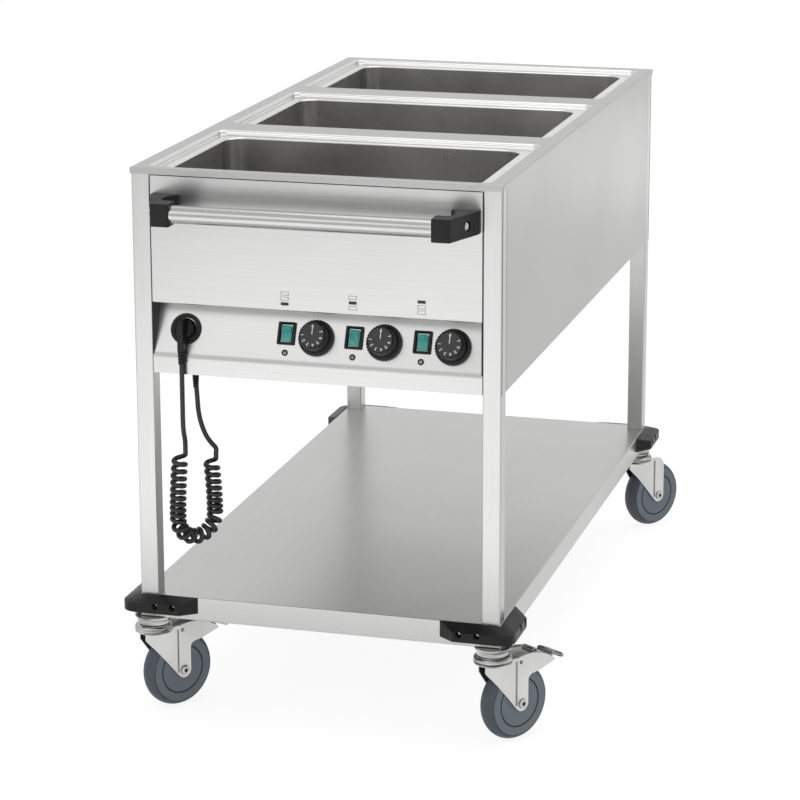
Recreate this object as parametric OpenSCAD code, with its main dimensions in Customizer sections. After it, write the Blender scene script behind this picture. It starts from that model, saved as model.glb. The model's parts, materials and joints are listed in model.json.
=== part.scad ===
// Hostess trolley: a three-well heated serving cart on four swivel casters.
// X runs across the operator's end, Y runs back along the cart and Z is up.
// The operator's end, with the push handle and the console, faces -Y.

/* [Body] */
// Width of the top plate
body_w = 597; // [590:1:700]
// Length of the top plate, from the operator's end to the rear
body_l = 1182; // [1180:1:1400]
// Height of the top plate above the floor
body_h = 898; // [860:1:950]
// Height of the closed body under the top plate
body_depth = 327; // [320:1:360]
// Sheet steel thickness of the panels
sheet = 1.5; // [1:0.1:2.5]
// Side of the square corner posts
post = 29.5; // [25:0.5:40]
// Wall of the square corner posts
post_wall = 2; // [1.5:0.5:3]
// How far the top plate stands out past the posts
overhang = 2; // [2:0.5:8]
// Height of the top plate's folded edge
lip_h = 9.7; // [6:0.1:20]

/* [Wells] */
// Width of the top plate beside a pan recess
well_side = 28.5; // [26:0.5:45]
// Clear width of a pan recess, along the cart
recess_l = 330; // [300:1:345]
// Depth of the ledge that a pan rests on
recess_depth = 8; // [4:1:15]
// Corner radius of a pan recess
recess_r = 10; // [4:1:20]
// Distance from the plate's front edge to the first recess
well_margin = 22; // [10:1:25]
// Distance from the last recess to the plate's rear edge
well_rear_margin = 28; // [22:1:60]
// Width of a recess's ledge at its two ends
ledge_end = 21; // [12:0.5:35]
// Width of a recess's ledge along its front and back
ledge_long = 17.5; // [8:0.5:30]
// Depth of a basin below its ledge
basin_depth = 198; // [150:1:200]
// Corner radius of a basin
basin_r = 30; // [15:1:45]
// Sheet thickness of a deep-drawn basin
basin_wall = 1; // [0.8:0.1:2]
// Thickness of the heating plate under a basin
heater_t = 7; // [4:1:8]
// Free edge of a basin's floor round its heating plate
heater_edge = 40; // [35:1:80]

/* [Console] */
// Height of the console's top edge above the body's underside
console_h = 113; // [108:1:118]
// Height of the upright strip under the sloping face
strip_h = 30; // [20:1:34]
// How far the sloping face leans back at its top edge
setback = 36; // [20:1:50]
// Thickness of the black end cheeks beside the sloping face
cheek_t = 2; // [1:0.5:4]

/* [Controls] */
// Distance from one well's controls to the next
control_pitch = 109.6; // [104:0.1:110]
// Distance from the right corner post to the middle of the last knob
controls_side = 50.5; // [45:0.5:60]
// Height of the switches up the sloping face
switch_s = 46.2; // [42:0.1:52]
// Distance from a switch to its knob
knob_dx = 48.8; // [48:0.1:52]
// Height of the knobs up the sloping face
knob_s = 41.6; // [36:0.1:48]
// Diameter of a knob's skirt
knob_d = 58; // [46:1:60]
// Height of a knob's skirt
skirt_h = 6; // [3:1:10]
// Diameter of a knob's face
knob_face_d = 40; // [30:1:44]
// Height of a knob
knob_h = 27; // [18:1:32]
// Running gap under a knob
knob_gap = 0.6; // [0.4:0.1:2]
// Diameter of a knob's spindle
spindle_d = 6; // [5:0.5:8]
// Side of a thermostat's body
thermostat_side = 38; // [28:1:42]
// Depth of a thermostat's body
thermostat_depth = 26; // [16:1:30]
// Outer diameter of a thermostat's bush
bush_d = 10; // [9:0.5:14]
// Width of a switch's bezel
bezel_w = 29; // [26:1:32]
// Length of a switch's bezel
bezel_l = 36; // [33:1:40]
// Height of a switch's bezel above the face
bezel_h = 3; // [2.5:0.5:5]
// Width of a switch's window
window_w = 16; // [13:1:18]
// Length of a switch's window
window_l = 24; // [20:1:26]
// Depth of a switch's body behind the face
switch_depth = 20; // [14:1:28]
// How far a rocker leans to each side
rocker_tilt = 8; // [4:1:9]
// Diameter of a pilot lamp's ring
lamp_d = 10; // [8:0.5:14]
// Height of the pilot lamps up the sloping face
lamp_s = 15.7; // [12:0.1:18]

/* [Park socket and plug] */
// Distance from the left corner post to the middle of the park socket
socket_side = 50; // [42:1:117]
// Height of the park socket up the sloping face
socket_s = 42.7; // [36:0.1:50]
// Diameter of the park socket's flange
flange_d = 50; // [46:1:60]
// Height of the park socket's flange
flange_h = 4; // [3:0.5:8]
// Diameter of the plug's round head
plug_d = 34; // [30:1:37]
// Depth of the plug's head inside the socket
plug_depth = 14; // [8:1:20]
// Width of the plug's upright body
plug_body_w = 13; // [11:1:18]
// Diameter of the plug's ribbed sleeve
sleeve_d = 13; // [10.5:0.5:16]

/* [Shelf] */
// Height of the shelf's turned-down rim
shelf_rim = 38.7; // [30:0.1:60]
// How far the shelf stands out past the posts
shelf_over = 1.4; // [0:0.1:6]
// Width of the return under the shelf's rim
rim_return = 15; // [8:1:30]
// Side of the plates that carry the casters
corner_plate = 78; // [68:1:120]
// Thickness of the plates that carry the casters
corner_plate_t = 3; // [2:0.5:6]
// Number of stiffeners under the shelf
stiffeners = 3; // [1:1:5]
// Width of a stiffener
stiffener_w = 60; // [40:1:100]
// Height of a stiffener
stiffener_h = 25; // [12:1:28]

/* [Handle] */
// Diameter of the push handle's tube
handle_d = 28; // [20:0.5:32]
// Wall of the push handle's tube
handle_wall = 1.5; // [1:0.1:3]
// Distance from the top plate down to the middle of the push handle
handle_drop = 57; // [48:1:118]
// Distance from the front panel to the handle's centre line
handle_out = 66; // [60:1:110]
// Distance from a corner post to the handle's bracket
bracket_side = 4.5; // [3:0.5:45]
// Width of a bracket at the front panel
bracket_base_w = 44; // [36:1:60]
// Width of a bracket round the tube
bracket_w = 31; // [28:1:50]
// How far a bracket leans inwards from its base to the tube
bracket_lean = 25; // [0:1:40]
// Height of a bracket
bracket_h = 36; // [34:1:50]
// Cover of the bracket in front of the tube
bracket_nose = 16; // [15:0.5:24]
// Depth of the socket that holds the tube's end
socket_depth = 20; // [10:1:26]

/* [Bumpers] */
// Length of a bumper's arm from the shelf's corner
bumper_arm = 98; // [80:1:160]
// How far a bumper stands out from the shelf's rim
bumper_out = 25; // [14:1:40]
// Height of a bumper against the rim
bumper_h = 26.5; // [20:0.5:36]
// Height of a bumper's outer face
bumper_face_h = 15; // [8:0.5:20]
// Outer corner radius of a bumper
bumper_r = 22; // [8:1:40]
// Length of the taper at the end of a bumper's arm
bumper_taper = 26; // [10:1:40]
// Distance from the shelf's corner to a bumper's first screw
bumper_screw_a = 33; // [25:1:45]
// Distance between a bumper's two screws
bumper_screw_pitch = 29; // [18:1:30]

/* [Casters] */
// Diameter of the caster wheels
wheel_d = 125; // [100:1:127]
// Width of the caster wheels
wheel_w = 32; // [26:1:36]
// Diameter of a wheel's flat side
wheel_side_d = 109; // [80:1:115]
// Diameter of the groove in a wheel's side
groove_d = 80; // [50:1:90]
// Room between a wheel and its fork's crown
wheel_gap = 11; // [7:1:22]
// Distance from the swivel axis to the wheel's axle
trail = 43.7; // [35:0.1:44]
// Direction that the casters trail in, from +X towards +Y
caster_turn = 56; // [0:1:359]
// Thickness of a fork's legs
fork_t = 2.5; // [2:0.5:4]
// Diameter of a caster's ball races
race_d = 62; // [50:1:66]
// Diameter of a caster's kingpin
kingpin_d = 12; // [10:0.5:16]
// Diameter of a wheel's axle bolt
axle_d = 10; // [8:0.5:12]
// Running clearance of the axle, the kingpin, the rivet and the spindles, on the radius
running = 0.05; // [0.02:0.01:0.1]

/* [Cord] */
// Diameter of the mains cord
cord_d = 7.8; // [5:0.1:8]
// Radius of the curls, to the middle of the cord
curl_r = 9.7; // [8.5:0.1:10.5]
// Curls in the column under the plug
curls_down = 9; // [4:1:12]
// Curls round the bottom of the loop
curls_bend = 8; // [4:1:8]
// Curls in the column under the cord gland
curls_up = 7.5; // [3.5:1:10.5]
// Distance between curls in the two columns
curl_pitch = 10.5; // [10.3:0.1:13]
// How much more than the lowest curls of a column the top ones are drawn apart, as a share
curl_stretch = 0.18; // [0:0.01:0.18]
// How far the top of each column leans towards the loop's inside
loop_lean = 6; // [0:0.5:10]
// Radius of the loop's bottom
bend_r = 34; // [31.5:0.5:40]
// Diameter of the cord gland
gland_d = 18; // [14:0.5:24]
// Height of the cord gland under the body
gland_h = 9; // [5:0.5:12]

/* [Hidden] */
$fn = 64;
cut = 1;            // how far a cutter runs past the face that it cuts
seat = 0.3;         // gap of a loose seat

steel = [0.80, 0.80, 0.79];
bright = [0.88, 0.89, 0.90];
dark_steel = [0.30, 0.30, 0.30];
black = [0.08, 0.08, 0.08];
black_face = [0.20, 0.20, 0.20];
teal = [0.10, 0.55, 0.50];
tyre_grey = [0.38, 0.43, 0.47];

// The body's faces and levels
face_x = body_w / 2 - overhang;
front_y = overhang;
rear_y = body_l - overhang;
inner_x = face_x - post;
recess_w = body_w - 2 * well_side;
basin_w = recess_w - 2 * ledge_end;
basin_l = recess_l - 2 * ledge_long;
wells = 3;
well_pitch = (body_l - well_margin - well_rear_margin - recess_l) / (wells - 1);
plate_under = body_h - sheet;
ledge_under = body_h - recess_depth - basin_wall;
body_z = body_h - body_depth;
crown_t = 4;
head_h = 24;             // from the fork's crown to the plate that carries the caster
caster_h = wheel_d + wheel_gap + crown_t + head_h;
shelf_z = caster_h + shelf_rim;
rim_x = face_x + shelf_over;
rim_front = front_y - shelf_over;
rim_rear = rear_y + shelf_over;
post_axis_x = face_x - post / 2;
post_axis_front = front_y + post / 2;
post_axis_rear = rear_y - post / 2;

// The frame's origin is on the floor, under the middle of the part's box
pedal_reach = 135;
pedal_half = 18;
mid_x = (post_axis_x + pedal_reach * cos(caster_turn) + pedal_half * sin(caster_turn)
    - rim_x - bumper_out) / 2;
mid_y = (post_axis_rear + (trail + wheel_d / 2) * sin(caster_turn) + front_y - handle_out
    - bracket_nose) / 2;
module placed() translate([-mid_x, -mid_y, 0]) children();

// The sloping face of the console
console_z = body_z + strip_h;
console_top = body_z + console_h;
slope = atan2(setback, console_top - console_z);
slope_len = norm([setback, console_top - console_z]);
module on_slope(x, s) translate([x, front_y, console_z]) rotate([90 - slope, 0, 0])
    translate([0, s, 0]) children();
function knob_x(i) = inner_x - controls_side - (wells - 1 - i) * control_pitch;
function switch_x(i) = knob_x(i) - knob_dx;
socket_x = socket_side - inner_x;

// Clearances of the controls in the sloping face
fit = 0.2;
switch_body_w = bezel_w - 7;
switch_body_l = bezel_l - 6;
lamp_body_d = lamp_d - 2;
cup_d = flange_d - 10;
rocker_axis = 1;
rocker_pin_r = 1.2;
bush_h = 5;

module rounded_block(w, l, h, r) {
    linear_extrude(h) union() {
        square([w - 2 * r, l], center = true);
        square([w, l - 2 * r], center = true);
        for (x = [-1, 1], y = [-1, 1]) translate([x * (w / 2 - r), y * (l / 2 - r)]) circle(r);
    }
}

// ---- Body ----

function well_y(i) = well_margin + recess_l / 2 + i * well_pitch;

// A notch at its top clears the corner of the nearest pan recess
module corner_post(x, y) color(steel) placed() difference() {
    translate([x - post / 2, y - post / 2, shelf_z]) cube([post, post, plate_under - shelf_z]);
    translate([x - post / 2 + post_wall, y - post / 2 + post_wall, shelf_z - cut])
        cube([post - 2 * post_wall, post - 2 * post_wall, plate_under - shelf_z + 2 * cut]);
    for (i = [0, wells - 1]) translate([0, well_y(i), ledge_under - seat])
        rounded_block(recess_w + 2 * (basin_wall + seat), recess_l + 2 * (basin_wall + seat),
            recess_depth, recess_r + basin_wall + seat);
}

module top_plate() color(steel) placed() difference() {
    translate([-body_w / 2, 0, body_h - lip_h]) cube([body_w, body_l, lip_h]);
    translate([-body_w / 2 + sheet, sheet, body_h - lip_h - cut])
        cube([body_w - 2 * sheet, body_l - 2 * sheet, lip_h - sheet + cut]);
    for (i = [0:wells - 1]) translate([0, well_y(i), body_h - lip_h])
        rounded_block(recess_w + 2 * basin_wall, recess_l + 2 * basin_wall, lip_h + cut,
            recess_r + basin_wall);
}

module well(i) color(dark_steel) placed() translate([0, well_y(i), body_h]) difference() {
    union() {
        translate([0, 0, -recess_depth - basin_wall])
            rounded_block(recess_w + 2 * basin_wall, recess_l + 2 * basin_wall,
                recess_depth + basin_wall, recess_r + basin_wall);
        translate([0, 0, -recess_depth - basin_depth - basin_wall])
            rounded_block(basin_w + 2 * basin_wall, basin_l + 2 * basin_wall, basin_depth,
                basin_r + basin_wall);
    }
    translate([0, 0, -recess_depth]) rounded_block(recess_w, recess_l, recess_depth + cut, recess_r);
    translate([0, 0, -recess_depth - basin_depth])
        rounded_block(basin_w, basin_l, basin_depth + cut, basin_r);
}

module heating_plates() color(steel) placed() for (i = [0:wells - 1])
    translate([-basin_w / 2 + heater_edge, well_y(i) - basin_l / 2 + heater_edge,
        body_h - recess_depth - basin_depth - basin_wall - heater_t])
        cube([basin_w - 2 * heater_edge, basin_l - 2 * heater_edge, heater_t]);

module front_panel() color(steel) placed() difference() {
    union() {
        translate([-inner_x, front_y, console_top])
            cube([2 * inner_x, sheet, plate_under - console_top]);
        translate([-inner_x, front_y, console_top])
            cube([2 * inner_x, setback + sheet / cos(slope), sheet]);
    }
    for (x = [-1, 1]) bracket_bolts(x) cylinder(d = bolt_d + 2 * fit, h = 4 * sheet, center = true);
}

module rear_panel() color(steel) placed() translate([-inner_x, rear_y - sheet, body_z])
    cube([2 * inner_x, sheet, plate_under - body_z]);

module side_panel(side) color(steel) placed()
    translate([side > 0 ? face_x - sheet : -face_x, front_y + post, body_z])
        cube([sheet, rear_y - front_y - 2 * post, plate_under - body_z]);

module body_floor() color(steel) placed() difference() {
    translate([-face_x + sheet, front_y + sheet, body_z])
        cube([2 * (face_x - sheet), rear_y - front_y - 2 * sheet, sheet]);
    for (x = [-1, 1], y = [post_axis_front, post_axis_rear])
        translate([x * post_axis_x - post / 2, y - post / 2, body_z - cut])
            cube([post, post, sheet + 2 * cut]);
    translate([gland_x, gland_y, body_z - cut]) cylinder(d = gland_thread + 2 * fit, h = sheet + 2 * cut);
}

// ---- Console and controls ----

module control_panel() color(steel) placed() difference() {
    translate([-inner_x, 0, 0]) rotate([90, 0, 90]) linear_extrude(2 * inner_x) polygon([
        [front_y, body_z],
        [front_y, console_z],
        [front_y + setback, console_top],
        [front_y + setback + sheet / cos(slope), console_top],
        [front_y + sheet, console_z - sheet * tan(slope / 2)],
        [front_y + sheet, body_z]]);
    for (i = [0:wells - 1]) {
        on_slope(knob_x(i), knob_s) cylinder(d = bush_d + 2 * fit, h = 4 * sheet, center = true);
        on_slope(switch_x(i), switch_s)
            translate([-switch_body_w / 2 - fit, -switch_body_l / 2 - fit, -2 * sheet])
                cube([switch_body_w + 2 * fit, switch_body_l + 2 * fit, 4 * sheet]);
        on_slope(switch_x(i), lamp_s)
            cylinder(d = lamp_body_d + 2 * fit, h = 4 * sheet, center = true);
    }
    on_slope(socket_x, socket_s) cylinder(d = cup_d + 2 * fit, h = 4 * sheet, center = true);
}

module console_cheeks() color(black) placed() for (x = [-inner_x, inner_x - cheek_t])
    translate([x, 0, 0]) rotate([90, 0, 90]) linear_extrude(cheek_t) polygon([
        [front_y, console_z], [front_y, console_top], [front_y + setback, console_top]]);

module knob(i) color(black_face) placed() on_slope(knob_x(i), knob_s) difference() {
    union() {
        translate([0, 0, knob_gap]) cylinder(d = knob_d, h = skirt_h);
        translate([0, 0, knob_gap + skirt_h])
            cylinder(d1 = knob_d - 8, d2 = knob_face_d, h = knob_h - skirt_h);
        translate([0, 0, -sheet - thermostat_depth / 2])
            cylinder(d = spindle_d, h = sheet + thermostat_depth / 2 + knob_h / 2);
    }
    // hollow underside, which clears the bush's end
    translate([0, 0, knob_gap - cut]) difference() {
        cylinder(d = bush_d + 6, h = bush_h + 2 * cut);
        cylinder(d = spindle_d, h = bush_h + 3 * cut);
    }
}

module thermostats() color(steel) placed() for (i = [0:wells - 1])
    on_slope(knob_x(i), knob_s) difference() {
        union() {
            translate([-thermostat_side / 2, -thermostat_side / 2, -sheet - thermostat_depth])
                cube([thermostat_side, thermostat_side, thermostat_depth]);
            translate([0, 0, -sheet]) cylinder(d = bush_d, h = sheet + bush_h - cut);
            cylinder(d = bush_d + 4, h = bush_h - 2 * cut, $fn = 6);
        }
        translate([0, 0, -sheet - thermostat_depth / 2 - seat])
            cylinder(d = spindle_d + 2 * running, h = thermostat_depth);
    }

module switch_housings() color(black) placed() for (i = [0:wells - 1])
    on_slope(switch_x(i), switch_s) difference() {
        union() {
            translate([-bezel_w / 2, -bezel_l / 2, 0]) cube([bezel_w, bezel_l, bezel_h]);
            translate([-switch_body_w / 2, -switch_body_l / 2, -switch_depth])
                cube([switch_body_w, switch_body_l, switch_depth]);
        }
        translate([-window_w / 2, -window_l / 2, -switch_depth + 2])
            cube([window_w, window_l, switch_depth + bezel_h]);
        translate([-window_w / 2 - 1.5, 0, rocker_axis]) rotate([0, 90, 0])
            cylinder(r = rocker_pin_r + running, h = window_w + 3);
    }
module rocker(i) color(teal) placed() on_slope(switch_x(i), switch_s)
    translate([-window_w / 2, 0, rocker_axis]) rotate([rocker_tilt, 0, 0]) rotate([90, 0, 90]) {
        reach = window_l / 2 - 2 * seat;
        top = reach * 0.44;
        translate([0, 0, seat]) linear_extrude(window_w - 2 * seat) polygon([
            [-sqrt(reach * reach - top * top), top], [0, top - 2.4],
            [sqrt(reach * reach - top * top), top], [reach - 1.5, -1], [4, -8], [-4, -8],
            [1.5 - reach, -1]]);
        translate([0, 0, -1.2]) cylinder(r = rocker_pin_r, h = window_w + 2.4);
    }

module pilot_lamps() color(bright) placed() for (i = [0:wells - 1])
    on_slope(switch_x(i), lamp_s) union() {
        cylinder(d = lamp_d, h = 1.6);
        translate([0, 0, 1.6]) cylinder(d1 = lamp_d - 2.5, d2 = lamp_d - 5, h = 1.4);
        translate([0, 0, -14]) cylinder(d = lamp_body_d, h = 14);
    }

module park_socket() color(black) placed() on_slope(socket_x, socket_s) difference() {
    union() {
        cylinder(d = flange_d, h = flange_h);
        translate([0, 0, -plug_depth - 4]) cylinder(d = cup_d, h = plug_depth + 4);
    }
    translate([0, 0, -plug_depth - 1]) cylinder(d = plug_d + 2 * fit, h = plug_depth + flange_h + 2);
}

// The plug stands in the park socket, and its body turns straight down to the cord
plug_y = -5;
plug_top = console_z + 60;
plug_foot = console_z + 8;
sleeve_h = 15;
plug_head_h = 12;
module plug() color(black) placed() {
    on_slope(socket_x, socket_s) translate([0, 0, -plug_depth - 1])
        cylinder(d = plug_d, h = plug_depth + 1 + plug_head_h);
    hull() {
        on_slope(socket_x, socket_s) translate([0, 0, plug_head_h])
            cylinder(d = plug_d - 4, h = 2, $fn = 32);
        translate([socket_x - plug_body_w / 2, plug_y - plug_body_w / 2, console_z + 32])
            cube([plug_body_w, plug_body_w, plug_top - console_z - 32]);
    }
    translate([socket_x - plug_body_w / 2, plug_y - plug_body_w / 2, plug_foot])
        cube([plug_body_w, plug_body_w, plug_top - plug_foot - 6]);
    translate([socket_x, plug_y, plug_foot - sleeve_h]) cylinder(d = sleeve_d, h = sleeve_h);
}

// ---- Cord ----

// A tube through the centres c, with n sides; ref is each ring's direction to its first corner
function unit(v) = v / norm(v);
function tangent(c, i) = unit(c[min(i + 1, len(c) - 1)] - c[max(i - 1, 0)]);
function ring(c, ref, i, r, n) = let (
    t = tangent(c, i), a = unit(ref - (ref * t) * t), b = cross(t, a))
    [for (k = [0:n - 1]) c[i] + r * (cos(360 * k / n) * a + sin(360 * k / n) * b)];
module tube(c, refs, r, n) {
    last = (len(c) - 1) * n;
    points = [for (i = [0:len(c) - 1]) each ring(c, refs[i], i, r, n)];
    sides = [for (i = [0:len(c) - 2], k = [0:n - 1]) let (
        p = i * n + k, q = i * n + (k + 1) % n)
        each [[p, p + n, q], [q, p + n, q + n]]];
    ends = [for (k = [1:n - 2]) each [[0, k, k + 1], [last, last + k + 1, last + k]]];
    polyhedron(points, concat(sides, ends));
}

// The curled stretch hangs as a loop: a column down, half a turn round the bottom, a column up
loop_left = [socket_x - 10.5, -7];
loop_dir = unit([0.64, 0.77]);
loop_drop = 236;         // from the body's underside to the middle of the loop's bottom bend
loop_z = body_z - loop_drop;
down_len = (curls_down + 1) * curl_pitch;
bend_len = 180 * bend_r * PI / 180;
up_len = (curls_up + 1) * curl_pitch;
function in_loop(q, z) = [loop_left[0] + q * loop_dir[0], loop_left[1] + q * loop_dir[1], z];
// Middle of the loop at the distance s along it, and the direction to the loop's inside
function loop_mid(s) = s < down_len
    ? in_loop(loop_lean * pow(1 - s / down_len, 2), loop_z + down_len - s)
    : s < down_len + bend_len ? let (a = 180 * (s - down_len) / bend_len)
        in_loop(bend_r * (1 - cos(a)), loop_z - bend_r * sin(a))
    : let (h = s - down_len - bend_len)
        in_loop(2 * bend_r - loop_lean * pow(h / up_len, 2), loop_z + h);
function loop_in(s) = let (a = min(max(180 * (s - down_len) / bend_len, 0), 180))
    [cos(a) * loop_dir[0], cos(a) * loop_dir[1], sin(a)];
loop_side = [-loop_dir[1], loop_dir[0], 0];
function curl_out(s, turns) = cos(360 * turns) * loop_in(s) + sin(360 * turns) * loop_side;
// Height of the share f of a column's curls, counted from the bend: the weight of the curls
// below draws the upper ones apart
function drawn(f) = (1 - curl_stretch) * f + curl_stretch * f * f;
// Each stretch gives pairs of distance and turns; the first and last curl ease in and out
rings = 8;
ease = rings / 2 + 1;
total = down_len + bend_len + up_len;
turns_all = curls_down + curls_bend + curls_up + 1;
curl_steps = concat(
    [[-cord_d, 0]],
    [for (k = [0:ease - 1]) [curl_pitch * k / ease, 0.5 * pow(k / ease, 2)]],
    [for (k = [0:curls_down * rings - 1])
        [down_len - curl_pitch * curls_down * drawn(1 - k / (curls_down * rings)), 0.5 + k / rings]],
    [for (k = [0:curls_bend * rings - 1]) [down_len + bend_len * k / (curls_bend * rings),
        0.5 + curls_down + k / rings]],
    [for (k = [0:curls_up * rings])
        [down_len + bend_len + curl_pitch * curls_up * drawn(k / (curls_up * rings)),
            0.5 + curls_down + curls_bend + k / rings]],
    [for (k = [ease - 1:-1:0]) [total - curl_pitch * k / ease, turns_all - 0.5 * pow(k / ease, 2)]],
    [[total + cord_d, turns_all]]);
curl_mids = [for (p = curl_steps) let (s = min(max(p[0], 0), total))
    loop_mid(s) + curl_r * curl_out(s, p[1]) + [0, 0, abs(p[0] - s)]];
curl_refs = [for (p = curl_steps) curl_out(min(max(p[0], 0), total), p[1])];
curl_gap = min([for (i = [0:len(curl_mids) - 1], j = [i + rings / 2 + 1:len(curl_mids) - 1])
    if (j < len(curl_mids)) norm(curl_mids[i] - curl_mids[j])]) - cord_d;
echo(least_gap_between_curls = curl_gap);
module cord_curls() color(black) placed() tube(curl_mids, curl_refs, cord_d / 2, 6);

// The free stretches, with their points chosen by hand between the ends, from the park socket's
// place across the cart, the body's front and its underside
gland_x = socket_x + 3;
gland_y = 50;
gland_thread = 12;
function from_body(p) = [socket_x + p[0], p[1], body_z + p[2]];
plug_lead = concat([[socket_x, plug_y, plug_foot - sleeve_h]],
    [for (p = [[0, -5, 9], [0, -5, -11], [0, -5, -31], [0, -5, -51], [0, -5, -71], [0, -4, -85],
        [0, -1, -97], [0, 2.5, -106]]) from_body(p)],
    [curl_mids[0] + [0, 0, 8], curl_mids[0]]);
entry_lead = concat([curl_mids[len(curl_mids) - 1], curl_mids[len(curl_mids) - 1] + [0, 0, 8]],
    [for (p = [[27, 50, -123], [20, 50, -114], [15, 50, -104], [11, 50, -93], [8, 50, -81],
        [6, 50, -67], [5, 50, -51], [4, 50, -36], [3, 50, -21]]) from_body(p)],
    [[gland_x, gland_y, body_z - gland_h]]);
module cord_plug_lead() color(black) placed()
    tube(plug_lead, [for (p = plug_lead) [1, 0, 0]], cord_d / 2, 8);
module cord_entry_lead() color(black) placed()
    tube(entry_lead, [for (p = entry_lead) [0, 1, 0]], cord_d / 2, 8);
module cord_gland() color(black) placed() translate([gland_x, gland_y, body_z]) {
    translate([0, 0, -gland_h]) cylinder(d = gland_d, h = gland_h);
    cylinder(d = gland_thread, h = 14);
    translate([0, 0, sheet]) cylinder(d = gland_d, h = 5, $fn = 6);
}

// ---- Shelf ----

module shelf() color(steel) placed() difference() {
    union() {
        difference() {
            translate([-rim_x, rim_front, caster_h]) cube([2 * rim_x, rim_rear - rim_front, shelf_rim]);
            translate([-rim_x + sheet, rim_front + sheet, caster_h + sheet])
                cube([2 * (rim_x - sheet), rim_rear - rim_front - 2 * sheet, shelf_rim - 2 * sheet]);
            translate([-rim_x + rim_return, rim_front + rim_return, caster_h - cut])
                cube([2 * (rim_x - rim_return), rim_rear - rim_front - 2 * rim_return, 2 * sheet + cut]);
        }
        for (x = [-1, 1], y = [0, 1]) translate([
            x < 0 ? -rim_x : rim_x - corner_plate,
            y < 1 ? rim_front : rim_rear - corner_plate, caster_h])
            cube([corner_plate, corner_plate, corner_plate_t]);
    }
    for (x = [-post_axis_x, post_axis_x], y = [post_axis_front, post_axis_rear])
        translate([x, y, caster_h - cut])
            cylinder(d = kingpin_d + 2 * fit, h = corner_plate_t + 2 * cut);
    for (i = [0:3]) bumper_screw_places(i) cylinder(d = screw_d + 2 * fit, h = 6 * sheet, center = true);
}

module shelf_stiffeners() color(steel) placed() for (i = [1:stiffeners])
    translate([-rim_x + sheet + seat,
        rim_front + i * (rim_rear - rim_front) / (stiffeners + 1) - stiffener_w / 2,
        shelf_z - sheet - stiffener_h]) difference() {
        cube([2 * (rim_x - sheet - seat), stiffener_w, stiffener_h]);
        translate([-cut, sheet, sheet])
            cube([2 * rim_x, stiffener_w - 2 * sheet, stiffener_h]);
    }

// ---- Bumpers ----

// Corner i of the shelf: 0 front left, 1 front right, 2 rear left, 3 rear right.
// In a corner's own frame the shelf lies in +X and +Y.
module at_corner(i) translate([i % 2 == 0 ? -rim_x : rim_x, i < 2 ? rim_front : rim_rear, shelf_z])
    mirror([i % 2, 0, 0]) mirror([0, i < 2 ? 0 : 1, 0]) children();

module bumper_slab(z, h, out) translate([0, 0, z]) linear_extrude(h) union() {
    polygon([[0, bumper_arm], [-out, bumper_arm - bumper_taper], [-out, bumper_r - out],
        [bumper_r - out, -out], [bumper_arm - bumper_taper, -out], [bumper_arm, 0]]);
    translate([bumper_r - out, bumper_r - out]) circle(bumper_r, $fn = 32);
}

screw_d = 5;
screw_head_d = 9;
screw_z = -13;
screw_seat = 12;
module bumper_screw_places(i) at_corner(i)
    for (k = [0, 1], side = [0, 1]) mirror([side, -side, 0])
        translate([bumper_screw_a + k * bumper_screw_pitch, 0, screw_z]) rotate([90, 0, 0]) children();

module bumper(i) color(black) placed() difference() {
    at_corner(i) difference() {
        hull() {
            bumper_slab(-bumper_h, 0.1, bumper_out - 5);
            bumper_slab(-bumper_h + 2.5, bumper_face_h, bumper_out);
            bumper_slab(-0.1, 0.1, 4);
        }
        translate([0, 0, -2 * bumper_h]) cube([2 * bumper_arm, 2 * bumper_arm, 4 * bumper_h]);
    }
    bumper_screw_places(i) {
        translate([0, 0, -cut]) cylinder(d = screw_d + 2 * fit, h = bumper_out + 2 * cut);
        translate([0, 0, screw_seat]) cylinder(d = screw_head_d + 1, h = bumper_out);
    }
}

module bumper_screws() color(bright) placed() for (i = [0:3]) bumper_screw_places(i) {
    translate([0, 0, -sheet - 6]) cylinder(d = screw_d, h = screw_seat + sheet + 6);
    translate([0, 0, screw_seat]) cylinder(d = screw_head_d, h = 3);
}

// ---- Handle ----

handle_z = body_h - handle_drop;
handle_span = 2 * (inner_x - bracket_side);
tube_y = front_y - handle_out;
tube_end = handle_span / 2 - bracket_lean - bracket_w + socket_depth;
bolt_d = 6;
bolt_rise = 12;
bracket_root = 6;        // straight part of a bracket next to the front panel
cap_screw_sunk = 5;

module handle_tube() color(bright) placed() translate([-tube_end, tube_y, handle_z])
    rotate([0, 90, 0]) difference() {
        cylinder(d = handle_d, h = 2 * tube_end);
        translate([0, 0, -cut]) cylinder(d = handle_d - 2 * handle_wall, h = 2 * tube_end + 2 * cut);
    }

// Two bolts hold each bracket from inside the body
module bracket_bolts(side) for (z = [-bolt_rise, bolt_rise])
    translate([side * (handle_span / 2 - bracket_base_w / 2), front_y, handle_z + z])
        rotate([90, 0, 0]) children();

module bracket(side) color(black) placed() difference() {
    hull() {
        translate([side * (handle_span / 2 - bracket_base_w / 2) - bracket_base_w / 2, front_y - bracket_root,
            handle_z - bracket_h / 2]) cube([bracket_base_w, bracket_root, bracket_h]);
        for (x = [4, bracket_w - 4])
            translate([side * (handle_span / 2 - bracket_lean - x), tube_y - bracket_nose + 4,
                handle_z - bracket_h / 2]) cylinder(r = 4, h = bracket_h, $fn = 32);
    }
    translate([side * (tube_end - bracket_w), tube_y, handle_z]) rotate([0, side * 90, 0])
        cylinder(d = handle_d + 2 * fit, h = bracket_w + fit);
    bracket_bolts(side) translate([0, 0, -cut]) cylinder(d = bolt_d + 2 * fit, h = 20 + cut);
    cap_screw_place(side) {
        translate([0, 0, -18]) cylinder(d = bolt_d + 2 * fit, h = 20);
        cylinder(d = cap_screw_d + 2, h = 20);
    }
}

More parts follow.
